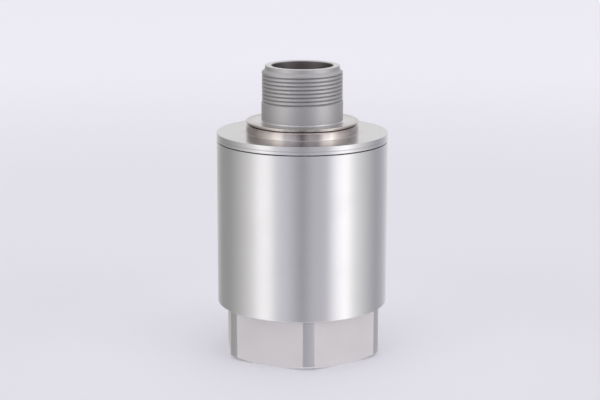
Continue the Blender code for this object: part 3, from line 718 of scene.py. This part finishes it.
def board_finish():
    """Green laminate with tinned pads round its holes and under the resistors' wires."""
    made, tree, shader = start_material("green_laminate", 0.0)
    folded = vector_maths(tree, "ABSOLUTE", piece_space(tree)[2])
    pad_places = ((6, 0), (0, 8.5), (3, 4.2))
    gaps = [vector_maths(tree, "DISTANCE", folded, (x * MM, y * MM, 0)) for x, y in pad_places]
    nearest = maths(tree, "MINIMUM", maths(tree, "MINIMUM", gaps[0], gaps[1]), gaps[2])
    on_pad = maths(tree, "LESS_THAN", nearest, 1.05 * MM)
    given = {
        "Colour": looks().laminate,
        "Roughness": 0.4,
        "Spacing": 0.4 * MM,
        "Contrast": 0.25,
        "Depth": 0.002 * MM,
    }
    grit = use_group(tree, "Fine Grit", given)
    sockets = {
        "Base Color": mix(tree, on_pad, grit["Colour"], (0.75, 0.75, 0.74, 1)),
        "Metallic": on_pad,
        "Roughness": grit["Roughness"],
        "Normal": grit["Normal"],
    }
    wire(tree, shader, sockets)
    return made


def banded_lacquer():
    """A resistor's lacquer with four rings of colour along Y, and its bare wires."""
    made, tree, shader = start_material("resistor_lacquer", 0.0)
    place = add(tree, "ShaderNodeTexCoord").outputs["Object"]
    along = add(tree, "ShaderNodeSeparateXYZ", {0: place}).outputs["Y"]
    half_length = 3.05 * MM
    lacquer = (*looks().lacquer, 1)
    brown, black, orange, gold = (0.30, 0.09, 0.03), (0.02, 0.02, 0.02), (0.60, 0.10, 0.02), (0.6, 0.4, 0.1)
    stops = [(0.0, lacquer)]
    for start, stripe in ((0.18, brown), (0.36, black), (0.52, orange), (0.72, gold)):
        stops += [(start, (*stripe, 1)), (start + 0.08, lacquer)]
    stops.append((0.9, lacquer))
    rings = ramp(tree, way_between(tree, along, -half_length, half_length), stops, "CONSTANT")
    beyond = maths(tree, "GREATER_THAN", maths(tree, "ABSOLUTE", along), half_length)
    given = {"Colour": looks().lacquer, "Roughness": 0.32, "Strength": 0.1}
    sockets = {
        "Base Color": mix(tree, beyond, rings, (0.7, 0.7, 0.69, 1)),
        "Metallic": beyond,
        "Roughness": use_group(tree, "Handling Marks", given)["Roughness"],
    }
    wire(tree, shader, sockets)
    return made


# Pieces


class SENSOR_OT_cup(bpy.types.Operator):
    """The cup that is turned from one bar, with spanner flats on its foot and a threaded stud hole"""

    bl_idname = "sensor.cup"
    bl_label = "Steel cup"

    def execute(self, context):
        made = sizes()
        look = looks()
        foot_r = CUP_R - 0.6
        floor = SHOULDER + 2.7
        drill_r, drill_top = 4.3, floor - 0.8
        drill_end = drill_top - drill_r / math.tan(math.radians(59))
        wall_r, seat_r, seat_top = 15.0, 12.85, floor + 2.0
        outline = [
            (0, drill_top),
            (drill_r, drill_end),
            (drill_r, 0.7),
            (5.0, 0),
            (foot_r - 1.4, 0, 0.1),
            (foot_r, 0.65, 0.1),
            (foot_r, SHOULDER, 0.1),
            (CUP_R, SHOULDER, 0.2),
            (CUP_R, CUP_TOP, 0.12),
            (wall_r, CUP_TOP, 0.1),
            (wall_r, seat_top),
            (seat_r, seat_top, 0.1),
            (seat_r, floor),
            (0, floor),
        ]
        cup = lathe("steel_cup", outline)
        self.flat = made.across_flats / MM / 2
        corner_r = self.flat / math.cos(math.pi / 6)
        beyond = [(corner_r, -1), (2 * CUP_R, -1), (2 * CUP_R, SHOULDER), (corner_r, SHOULDER)]
        cut(cup, lathe("flats_cutter", beyond, around=6))
        stud_r = made.stud_major / MM / 2
        pitch = made.stud_pitch / MM
        cut(cup, screw_thread("stud_thread", stud_r, stud_r - 4.2, -1.2, pitch, 6.2, inward=False))

        def flat_side(a, b):
            standing = abs(a.x - b.x) + abs(a.y - b.y) < 0.01 and abs(a.z - b.z) > 1
            return standing and max(a.z, b.z) < SHOULDER + 0.05 and self.on_flat(a) and self.on_flat(b)

        bevel_edges(cup, made.flat_bevel, flat_side)
        milled = grained("milled_steel", look.milled, look.milled_roughness, metallic=1.0, contrast=0.05)
        paint(
            cup,
            (milled, lambda p, n: p.z < SHOULDER and abs(n.z) < 0.3 and self.on_flat(p, 0.02)),
            (turned_steel(), lambda p, n: math.hypot(p.x, p.y) > wall_r + 0.2 or p.z < 0.1),
            (bored_steel(), None),
        )
        settle(cup, "stainless_steel", "housing")
        return {"FINISHED"}

    def on_flat(self, point, slack=0.03):
        """True for a point in the plane of one of the hexagon's flats."""
        turns = [k * math.pi / 3 for k in range(6)]
        reach = max(point.x * math.cos(t) + point.y * math.sin(t) for t in turns)
        return abs(reach - self.flat) < slack


class SENSOR_OT_lid(bpy.types.Operator):
    """The lid with its faced top, its scribed weld line and the boss that carries the connector"""

    bl_idname = "sensor.lid"
    bl_label = "Welded lid"

    def execute(self, context):
        look = looks()
        bottom, top = CUP_TOP + 0.2, CUP_TOP + 1.8
        line = bottom + 0.62
        bore, spigot_bore, spigot = 7.65, 12.6, 14.85
        groove_r, groove_low, groove_high = 13.8, 40.6, 41.9
        step_r, step_top = 10.6, BOSS_TOP + 0.25
        outline = [
            (bore, bottom),
            (spigot_bore, bottom, 0.1),
            (spigot_bore, SPIGOT_END, 0.1),
            (spigot, SPIGOT_END, 0.15),
            (spigot, groove_low),
            (groove_r, groove_low, 0.1),
            (groove_r, groove_high, 0.1),
            (spigot, groove_high),
            (spigot, bottom),
            (LID_R, bottom, 0.08),
            (LID_R, line - 0.1),
            (LID_R - 0.12, line, 0.02),
            (LID_R, line + 0.1),
            (LID_R, top, 0.06),
            (FLANGE_R, top, 0.08),
            (FLANGE_R, BOSS_TOP, 0.5),
            (step_r, BOSS_TOP, 0.05),
            (step_r, step_top, 0.05),
            (bore, step_top),
        ]
        lid = lathe("welded_lid", outline)
        top_tint = weld_tint(top, FLANGE_R + 0.2, 1.3, 0.25)
        # The boss's strong tint is partly the weld's oxide and partly painted reflection: its darkness stands
        # in for the dark reflection the polished boss shows
        boss_tint = weld_tint(BOSS_TOP, FLANGE_R, 3.0, 0.95)
        faced = metal("faced_steel", look.lid, 0.2, 0.5, tint=top_tint, contrast=0.04)
        boss = metal("welded_boss", look.steel, 0.1, 0.8, tint=boss_tint)

        def on_boss(p, n):
            return p.z > top + 0.02 or (p.z > top - 0.05 and math.hypot(p.x, p.y) < FLANGE_R + 0.1)

        paint(lid, (boss, on_boss), (faced, lambda p, n: p.z > top - 0.03), (turned_steel(), None))
        settle(lid, "stainless_steel", "top_cover")
        return {"FINISHED"}


class SENSOR_OT_receptacle(bpy.types.Operator):
    """The connector's plated shell with its flange and its fine thread"""

    bl_idname = "sensor.receptacle"
    bl_label = "Threaded receptacle"

    def execute(self, context):
        made = sizes()
        look = looks()
        low, high = BOSS_TOP + 0.3, BOSS_TOP + 0.6
        thread_low, thread_high = high + 3.9, high + 9.75
        tail_r, neck_r, thread_r, lip_r = 7.5, 8.1, 8.0, 7.4
        rear_bore, socket_r, ledge = 5.2, 6.1, low + 1.4
        outline = [
            (rear_bore, TAIL_END, 0.1),
            (tail_r, TAIL_END, 0.15),
            (tail_r, low),
            (FLANGE_R, low, 0.06),
            (FLANGE_R, high, 0.12),
            (neck_r, high, 0.2),
            (neck_r, thread_low, 0.05),
            (thread_r, thread_low + 0.1),
            (thread_r, thread_high, 0.08),
            (lip_r, thread_high + 0.5, 0.08),
            (lip_r, RIM_TOP, 0.15),
            (socket_r, RIM_TOP, 0.18),
            (socket_r, ledge),
            (rear_bore, ledge, 0.08),
        ]
        shell = lathe("threaded_receptacle", outline)
        pitch = made.thread_pitch / MM
        depth = made.thread_depth / MM
        first = math.radians(131)
        bottom = thread_low + 0.15 - pitch * (0.75 - first / math.tau)
        cut(shell, screw_thread("groove", thread_r - depth, depth + 0.14, bottom, pitch, 7.98, True, first))
        flange_tint = weld_tint(BOSS_TOP, FLANGE_R + 0.6, 2.6, 0.8)
        flange = metal("welded_flange", look.lid, 0.27, 0.8, tint=flange_tint)
        faced = metal("faced_rim", look.lid, 0.3, 0.5, contrast=0.04)
        # Painted shade: the bore is darkened to stand in for the shade inside the socket
        socket = metal("socket_bore_painted_shade", look.socket, 0.45, 0.3, spacing=0.35, contrast=0.1)
        paint(
            shell,
            (socket, lambda p, n: math.hypot(p.x, p.y) < socket_r + 0.02 and p.z < RIM_TOP - 0.19),
            (flange, lambda p, n: p.z < high + 0.25),
            (faced, lambda p, n: p.z > RIM_TOP - 0.02),
            (plated_shell(), None),
        )
        settle(shell, "nickel_plate", "connector_shell")
        return {"FINISHED"}


class SENSOR_OT_contacts(bpy.types.Operator):
    """The keyed insert in the socket, the ring that locks it and the plated pins"""

    bl_idname = "sensor.contacts"
    bl_label = "Contacts"

    def execute(self, context):
        outline = [
            (0, INSERT_LOW),
            (INSERT_R, INSERT_LOW, 0.1),
            (INSERT_R, INSERT_TOP, 0.15),
            (5.1, INSERT_TOP),
            (5.0, INSERT_TOP - 0.15, 0.05),
            (3.9, INSERT_TOP - 0.15, 0.05),
            (3.8, INSERT_TOP),
            (0, INSERT_TOP),
        ]
        insert = lathe("pin_insert", outline, around=96)
        pin_hole_r, pin_circle_r = 0.65, 2.3
        cut(insert, rods(pin_hole_r, INSERT_LOW - 1, INSERT_TOP + 1, ring_places(4, pin_circle_r)))
        cut(insert, block((0, -INSERT_R, INSERT_TOP), (1.2, 1.6, 10)))
        moulded = grained("moulded_insulator", looks().insulator, 0.45, spacing=0.1)
        dress(insert, moulded, "brown_insulator", "connector_insert")
        outer, low, high = box_mm("insert_lock_ring")
        bore = outer - 0.8
        outline = [(bore, low, 0.1), (outer, low, 0.1), (outer, high, 0.12), (bore, high, 0.12)]
        turned("locking_ring", outline, plated_shell(), "nickel_plate", "insert_lock_ring", around=96)
        spread(self.pin(), middles("contact_pin", 4), gold_plate(), "gold_plate", "contact_pin")
        return {"FINISHED"}

    @staticmethod
    def pin():
        """A pin with its solder cup, its collar and its rounded tip."""
        low, high = (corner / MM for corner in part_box("contact_pin_1"))
        cup_r, cup_top = 0.65, low.z + 1.8
        collar_r, collar_top, tip_r = 0.8, low.z + 2.4, 0.5
        outline = [
            (0, low.z),
            (cup_r, low.z, 0.08),
            (cup_r, cup_top, 0.05),
            (collar_r, cup_top, 0.05),
            (collar_r, collar_top, 0.05),
            (tip_r, collar_top),
            (tip_r, high.z, 0.4),
            (0, high.z),
        ]
        return lathe("socket_pin", outline, around=32)


class SENSOR_OT_seals(bpy.types.Operator):
    """The O-rings of the lid and of the element's caps, and the cushion under the clamp"""

    bl_idname = "sensor.seals"
    bl_label = "Seals and cushion"

    def execute(self, context):
        rubber = grained("moulded_rubber", looks().rubber, 0.75, spacing=0.15, depth=0.004)
        turns = [math.tau * k / 16 for k in range(16)]
        for node in ("cover_seal_ring", "cap_seal_ring_lower", "cap_seal_ring_upper"):
            outer, low, high = box_mm(node)
            half = (high - low) / 2
            middle = (low + high) / 2
            section = [(outer - half + half * math.cos(t), middle + half * math.sin(t)) for t in turns]
            turned(node.replace("_ring", "_rubber"), section, rubber, "seal_rubber", node, around=128)
        outer, low, high = box_mm("cushion_ring")
        section = ring_outline(outer - 1.2, outer, low, high, 0.1)
        turned("rubber_cushion", section, rubber, "seal_rubber", "cushion_ring", around=128)
        return {"FINISHED"}


class SENSOR_OT_element(bpy.types.Operator):
    """The element's can with its rolled edges, its plastic end caps and its solder posts"""

    bl_idname = "sensor.element"
    bl_label = "Element case"

    def execute(self, context):
        look = looks()
        outer, low, high = box_mm("element_case")
        bore, lip = outer - 0.8, outer - 1.8
        outline = [
            (lip, low, 0.15),
            (outer, low, 0.6),
            (outer, high, 0.6),
            (lip, high, 0.15),
            (lip, high - 0.6, 0.15),
            (bore, high - 0.6, 0.15),
            (bore, low + 0.6, 0.15),
            (lip, low + 0.6, 0.15),
        ]
        drawn = metal("drawn_steel", look.steel, 0.3, 0.4, spacing=0.5, contrast=0.05)
        turned("element_can", outline, drawn, "stainless_steel", "element_case")
        plastic = grained("black_nylon", look.black, 0.5, spacing=0.1)
        for side, outline in (("upper", self.cap_outline()), ("lower", turned_over(self.cap_outline()))):
            turned(f"end_cap_{side}", outline, plastic, "black_plastic", f"cap_{side}")
        posts = middles("element_terminal", 2)
        spread(self.post(), posts, gold_plate(), "gold_plate", "element_terminal")
        return {"FINISHED"}

    @staticmethod
    def cap_outline():
        """The upper cap's outline, with its hub down to the pole and a groove for its seal."""
        cap_r, _, top = box_mm("cap_upper")
        hub_low, plate = top - 3.7, top - 1.8
        groove, groove_r = top - 0.9, cap_r - 0.65
        return [
            (0, hub_low),
            (HUB_R, hub_low, 0.15),
            (HUB_R, plate, 0.2),
            (cap_r, plate, 0.15),
            (cap_r, groove - 0.45, 0.05),
            (groove_r, groove - 0.45, 0.1),
            (groove_r, groove + 0.45, 0.1),
            (cap_r, groove + 0.45, 0.05),
            (cap_r, top, 0.25),
            (9.6, top),
            (9.4, top - 0.2, 0.1),
            (8.2, top - 0.2, 0.1),
            (8.0, top),
            (0, top),
        ]

    @staticmethod
    def post():
        """A solder post with the collar that holds it in the cap."""
        low, high = (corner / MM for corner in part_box("element_terminal_1"))
        post_r, collar_r = 0.5, 0.9
        collar_low, collar_top = low.z + 1.2, low.z + 1.8
        outline = [
            (0, low.z),
            (post_r, low.z, 0.05),
            (post_r, collar_low),
            (collar_r, collar_low, 0.08),
            (collar_r, collar_top, 0.08),
            (post_r, collar_top),
            (post_r, high.z, 0.2),
            (0, high.z),
        ]
        return lathe("solder_post", outline, around=40)


class SENSOR_OT_magnet_system(bpy.types.Operator):
    """The ground magnet between its two turned pole pieces"""

    bl_idname = "sensor.magnet_system"
    bl_label = "Magnet system"

    def execute(self, context):
        look = looks()
        low, high = MAGNET_LOW, MAGNET_TOP
        ground = metal("magnet_alloy", look.magnet, 0.35, 0.3, spacing=0.6, contrast=0.14, depth=0.004)
        outline = [(0, low), (MAGNET_R, low, 0.25), (MAGNET_R, high, 0.25), (0, high)]
        turned("ground_magnet", outline, ground, "magnet_alloy", "magnet")
        iron = metal("soft_iron", look.iron, 0.42, 0.5, spacing=0.3, contrast=0.1)
        pole_r, low, high = box_mm("pole_piece_upper")
        hub_low = high - 0.6
        outline = [
            (0, low),
            (pole_r, low, 0.1),
            (pole_r, hub_low, 0.3),
            (HUB_R, hub_low),
            (HUB_R, high, 0.1),
            (0, high),
        ]
        for side, shape in (("upper", outline), ("lower", turned_over(outline))):
            turned(f"pole_{side}", shape, iron, "soft_iron", f"pole_piece_{side}")
        return {"FINISHED"}


class SENSOR_OT_moving_coil(bpy.types.Operator):
    """The bobbin that moves, with its two windings and the washers that hold the springs to it"""

    bl_idname = "sensor.moving_coil"
    bl_label = "Moving coil"

    def execute(self, context):
        look = looks()
        flange, low, high = box_mm("coil_former")
        bore, wall, half = 8.3, 8.8, 0.5
        outline = [
            (bore, low, 0.08),
            (flange, low, 0.1),
            (flange, low + half, 0.1),
            (wall, low + half),
            (wall, MIDDLE - 0.25),
            (flange, MIDDLE - 0.25, 0.08),
            (flange, MIDDLE + 0.25, 0.08),
            (wall, MIDDLE + 0.25),
            (wall, high - half),
            (flange, high - half, 0.1),
            (flange, high, 0.1),
            (bore, high, 0.08),
        ]
        bare = metal("bobbin_aluminium", look.aluminium, 0.33, 0.6, spacing=0.3, contrast=0.07)
        turned("bobbin", outline, bare, "aluminium", "coil_former", body=COIL)
        wire_finish = metal("winding_wire", look.copper, 0.3, 0.7, spacing=0.15, contrast=0.12, marks=0.15)
        for side in ("lower", "upper"):
            outline = self.winding_outline(f"coil_{side}", 8.95, 30)
            name = f"winding_{side}"
            turned(name, outline, wire_finish, "enamelled_copper", f"coil_{side}", around=128, body=COIL)
            node = f"clamp_washer_{side}"
            outer, low, high = box_mm(node)
            outline = ring_outline(outer - SPRING_RIM, outer, low, high, 0.1)
            turned(f"spring_washer_{side}", outline, rolled_bronze(), "spring_bronze", node, body=COIL)
        return {"FINISHED"}

    @staticmethod
    def winding_outline(node, inner, turns):
        """A winding's outline, ridged by the turns of wire in its outermost layer."""
        outer, low, high = box_mm(node)
        pitch = (high - low) / turns
        ridges = []
        for turn in range(turns):
            ridges += [(outer - 0.05, low + pitch * turn), (outer, low + pitch * (turn + 0.5))]
        return [(inner, low), *ridges, (outer - 0.05, high), (inner, high)]


class SENSOR_OT_leaf_springs(bpy.types.Operator):
    """The flat springs that guide the coil, each with a hub, a rim and curved arms"""

    bl_idname = "sensor.leaf_springs"
    bl_label = "Leaf springs"

    def execute(self, context):
        bore, arm_width, thinned = 1.2, 0.9, 0.9
        # The arms start inside the hub and end inside the rim
        steps, overlap, bend_end = 24, 0.1, 0.93
        arms = sizes().spring_arms
        ways = [(1 + 2 * overlap) * step / steps - overlap for step in range(steps + 1)]
        for side, hand in (("lower", -1), ("upper", 1)):
            node = f"leaf_spring_{side}"
            outer, low, high = box_mm(node)
            rim_r = outer - SPRING_RIM
            middle = (low + high) / 2
            for part, inner_r, outer_r, body in (("hub", bore, HUB_R, SENSOR), ("rim", rim_r, outer, COIL)):
                outline = ring_outline(inner_r, outer_r, low, high, 0.04)
                name = f"spring_{part}_{side}"
                turned(name, outline, rolled_bronze(), "spring_bronze", node, around=96, body=body)
            for number in range(arms):
                first = hand * math.tau * number / arms
                start, end, *spiral = (
                    self.on_spiral(way, HUB_R, rim_r, first, hand, middle) for way in (0, bend_end, *ways)
                )
                thickness = (high - low) * thinned
                arm = self.strip(f"spring_arm_{side}_{number + 1}", spiral, arm_width, thickness)
                paint(arm, (rolled_bronze(), None))
                smooth(arm)
                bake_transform(arm)
                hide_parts(node)
        return {"FINISHED"}

    @staticmethod
    def on_spiral(way, start_r, end_r, first, hand, height):
        """The arm's middle, this share of the way out from the hub to the rim."""
        radius = start_r + (end_r - start_r) * way
        angle = first + hand * math.radians(130) * way
        return Vector((radius * math.cos(angle), radius * math.sin(angle), height))

    @staticmethod
    def strip(name, points, width, thickness):
        """A flat strip whose cross-section is walked along the points by extruding and turning it."""
        steps = [there - here for here, there in zip(points, points[1:])]
        turns = [math.atan2(step.y, step.x) for step in (steps[0], *steps, steps[-1])]
        headings = [a + math.remainder(b - a, math.tau) / 2 for a, b in zip(turns, turns[1:])]
        deselect_all()
        bpy.ops.mesh.primitive_plane_add(
            size=MM, location=points[0] * MM, rotation=(math.pi / 2, 0, headings[0] + math.pi / 2)
        )
        made = named(name)
        made.scale = (width, thickness, 1)
        bpy.ops.object.transform_apply()
        bpy.ops.object.mode_set(mode="EDIT")
        bpy.ops.mesh.select_all(action="SELECT")
        for step, there, old, new in zip(steps, points[1:], headings, headings[1:]):
            bpy.ops.mesh.extrude_region_move(TRANSFORM_OT_translate={"value": step * MM})
            turn = math.remainder(old - new, math.tau)
            bpy.ops.transform.rotate(value=turn, orient_axis="Z", center_override=there * MM)
        bpy.ops.mesh.select_all(action="SELECT")
        bpy.ops.mesh.normals_make_consistent(inside=False)
        bpy.ops.object.mode_set(mode="OBJECT")
        return made


class SENSOR_OT_terminals(bpy.types.Operator):
    """The clamp ring, and on it the terminal board with its pads and its slotted screws"""

    bl_idname = "sensor.terminals"
    bl_label = "Clamp and terminal board"

    def execute(self, context):
        screw_places = ring_places(3, 10.55)
        outer, low, high = box_mm("clamp_ring")
        bore, hole_r = 8.95, 1.05
        outline = [(bore, low, 0.15), (outer, low, 0.2), (outer, high, 0.2), (bore, high, 0.15)]
        ring = lathe("steel_clamp", outline)
        cut(ring, rods(hole_r, high - 1.3, high + 1, screw_places))
        dress(ring, bored_steel(), "stainless_steel", "clamp_ring")
        outer, low, high = box_mm("terminal_board")
        board = lathe("laminate_board", [(0, low), (outer, low, 0.08), (outer, high, 0.08), (0, high)])
        wire_places = [(6, 0), (-6, 0), (0, 8.5), (0, -8.5)]
        cut(board, rods(0.65, low - 1, high + 1, wire_places))
        cut(board, rods(hole_r, low - 1, high + 1, screw_places))
        dress(board, board_finish(), "board_laminate", "terminal_board")
        steel = metal("screw_steel", looks().steel, 0.3, 0.4, spacing=0.15, contrast=0.05)
        spread(self.screw(), screw_places, steel, "stainless_steel", "board_screw")
        return {"FINISHED"}

    @staticmethod
    def screw():
        """A cheese-head screw with a slot."""
        _, low, high = box_mm("board_screw_1")
        shank_r, head_r, head_low = 0.9, 1.75, high - 1.1
        outline = [
            (0, low),
            (shank_r, low, 0.15),
            (shank_r, head_low),
            (head_r, head_low, 0.1),
            (head_r, high, 0.35),
            (0, high),
        ]
        screw = lathe("slotted_screw", outline, around=64)
        cut(screw, block((0, 0, high), (5, 0.5, 1)))
        return screw


class SENSOR_OT_kept_solids(bpy.types.Operator):
    """Finishes for the solids that are shown as they are: resistors and leads"""

    bl_idname = "sensor.kept_solids"
    bl_label = "Resistors and leads"

    def execute(self, context):
        lacquer = banded_lacquer()
        finishes = {
            "resistor_1": lacquer,
            "resistor_2": lacquer,
            "signal_lead_1": grained("red_lead", looks().red, 0.4, spacing=0.2, contrast=0.1),
            "signal_lead_2": grained("black_lead", looks().dark, 0.4, spacing=0.2, contrast=0.1),
        }
        for name, finish in finishes.items():
            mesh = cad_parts[name].data
            mesh.materials.clear()
            mesh.materials.append(finish)
        return {"FINISHED"}


class SENSOR_OT_stage(bpy.types.Operator):
    """The pale floor, the soft lights and the camera"""

    bl_idname = "sensor.stage"
    bl_label = "Studio"

    def execute(self, context):
        look = studio()
        turn = look.camera_turn
        front = Vector((-math.sin(turn), -math.cos(turn), 0))
        right = Vector((math.cos(turn), -math.sin(turn), 0))
        self.floor(look)
        self.world(look, front, right)
        self.overhead(look.top_light)
        self.camera(front, turn)
        bpy.context.scene.view_settings.view_transform = "Standard"
        return {"FINISHED"}

    def floor(self, look):
        """A wide pale sheet with painted light and shade: lighter right next to the sensor, where painted
        light lifts its contact shadow, darker in a ring round it and lighter far away. Metal mirrors the
        studio's light in its stead.
        """
        deselect_all()
        bpy.ops.mesh.primitive_plane_add(size=8)
        floor = bpy.context.object
        floor.name = "floor"
        made, tree, shader = start_material("floor_paper", 0.0, Roughness=0.9)
        place = add(tree, "ShaderNodeTexCoord").outputs["Object"]
        away = way_between(tree, vector_maths(tree, "LENGTH", place), 0, 0.5)
        near, around, far = ((*tone, 1) for tone in (look.floor_near_painted_light, look.floor_round_painted_shade, look.floor_far))
        # Painted light and shade: lighter right by the sensor over its contact shadow, darker in a ring round
        # it, lighter far away
        stops = ((0.04, near), (0.14, around), (0.3, around), (0.85, far))
        wire(tree, shader, {"Base Color": ramp(tree, away, stops, "EASE")})
        floor.data.materials.append(made)
        floor.visible_glossy = False

    def world(self, look, front, right):
        """Soft light all round, brightest in two broad strips to the left and right of the camera.

        The strips fade out towards the ceiling, which is dim right overhead, and towards the floor."""
        world = bpy.data.worlds.new("studio_air")
        bpy.context.scene.world = world
        world.use_nodes = True
        tree = world.node_tree
        direction = add(tree, "ShaderNodeTexCoord").outputs["Generated"]
        to_right = vector_maths(tree, "DOT_PRODUCT", direction, right)
        to_front = vector_maths(tree, "DOT_PRODUCT", direction, front)
        turn = maths(tree, "ARCTAN2", to_right, to_front)
        stops = [(degrees / 360 + 0.5, self.light(level, blue)) for degrees, level, blue in STUDIO_ROUND]
        strips = ramp(tree, way_between(tree, turn, -math.pi, math.pi), stops)
        height = add(tree, "ShaderNodeSeparateXYZ", {0: direction}).outputs["Z"]
        slope = maths(tree, "ABSOLUTE", height)
        steep = way_between(tree, slope, 0.35, 0.85, interpolation_type="SMOOTHSTEP")
        faded = mix(tree, steep, strips, self.light(1.1, 1.02))
        dimmed = mix(tree, way_between(tree, height, 0.88, 0.98), faded, self.light(0.35, 1.05))
        seen = add(tree, "ShaderNodeLightPath").outputs["Is Camera Ray"]
        backdrop = (0.82, 0.81, 0.86, 1)
        background = tree.nodes["Background"].inputs
        background["Strength"].default_value = look.air
        wire(tree, background, {"Color": mix(tree, seen, dimmed, backdrop)})

    @staticmethod
    def light(level, blue):
        """White light at this level, with more or less blue."""
        return (level, level * 0.99, level * blue, 1)

    @staticmethod
    def overhead(power):
        """A large square light above the sensor, which the camera doesn't see."""
        deselect_all()
        place = Vector((0, 0.1, 1.2))
        aim = (Vector((0, 0, 0.03)) - place).to_track_quat("-Z", "Y").to_euler()
        bpy.ops.object.light_add(type="AREA", location=place, rotation=aim)
        lamp = bpy.context.object
        lamp.name = "overhead"
        lamp.data.shape = "RECTANGLE"
        lamp.data.size = 1.6
        lamp.data.size_y = 1.6
        lamp.data.energy = power
        lamp.visible_camera = False

    @staticmethod
    def camera(front, turn):
        """The camera of the photograph, found from the edges of the sensor in it."""
        away, height, tilt, pan, roll, lens = 322.66, 103.24, 12.709, 0.074, 0.1026, 98.819
        deselect_all()
        spot = front * away * MM
        bpy.ops.object.camera_add(location=(spot.x, spot.y, height * MM))
        camera = bpy.context.object
        camera.name = "camera"
        aim = Euler((0, 0, -turn + math.radians(pan))).to_matrix()
        aim = aim @ Euler((math.radians(90 - tilt), 0, 0)).to_matrix()
        aim = aim @ Euler((0, 0, math.radians(roll))).to_matrix()
        camera.rotation_euler = aim.to_euler()
        camera.data.sensor_width = 36
        camera.data.lens = lens
        camera.data.clip_start = 0.01
        camera.data.clip_end = 20
        bpy.context.scene.camera = camera


PIECES = (
    SENSOR_OT_cup,
    SENSOR_OT_lid,
    SENSOR_OT_receptacle,
    SENSOR_OT_contacts,
    SENSOR_OT_seals,
    SENSOR_OT_element,
    SENSOR_OT_magnet_system,
    SENSOR_OT_moving_coil,
    SENSOR_OT_leaf_springs,
    SENSOR_OT_terminals,
    SENSOR_OT_kept_solids,
    SENSOR_OT_stage,
)
SETTINGS = {"sensor_sizes": SensorSizes, "sensor_looks": SensorLooks, "sensor_studio": SensorStudio}


class SENSOR_PT_panel(bpy.types.Panel):
    """Buttons for the sensor's pieces"""

    bl_idname = "SENSOR_PT_panel"
    bl_label = "Vibration sensor"
    bl_space_type = "VIEW_3D"
    bl_region_type = "UI"
    bl_category = "Sensor"

    def draw(self, context):
        for piece in PIECES:
            self.layout.operator(piece.bl_idname)
        for group in SETTINGS:
            settings = getattr(context.scene, group)
            box = self.layout.box()
            for name in settings.__annotations__:
                box.prop(settings, name)


CLASSES = (*SETTINGS.values(), *PIECES, SENSOR_PT_panel)


def register():
    for made in CLASSES:
        bpy.utils.register_class(made)
    for name, group in SETTINGS.items():
        setattr(bpy.types.Scene, name, PointerProperty(type=group))


def unregister():
    for name in SETTINGS:
        delattr(bpy.types.Scene, name)
    for made in reversed(CLASSES):
        bpy.utils.unregister_class(made)


def main():
    register()
    for piece in PIECES:
        name = piece.bl_idname.removeprefix("sensor.")
        getattr(bpy.ops.sensor, name)()


if __name__ == "__main__":
    main()
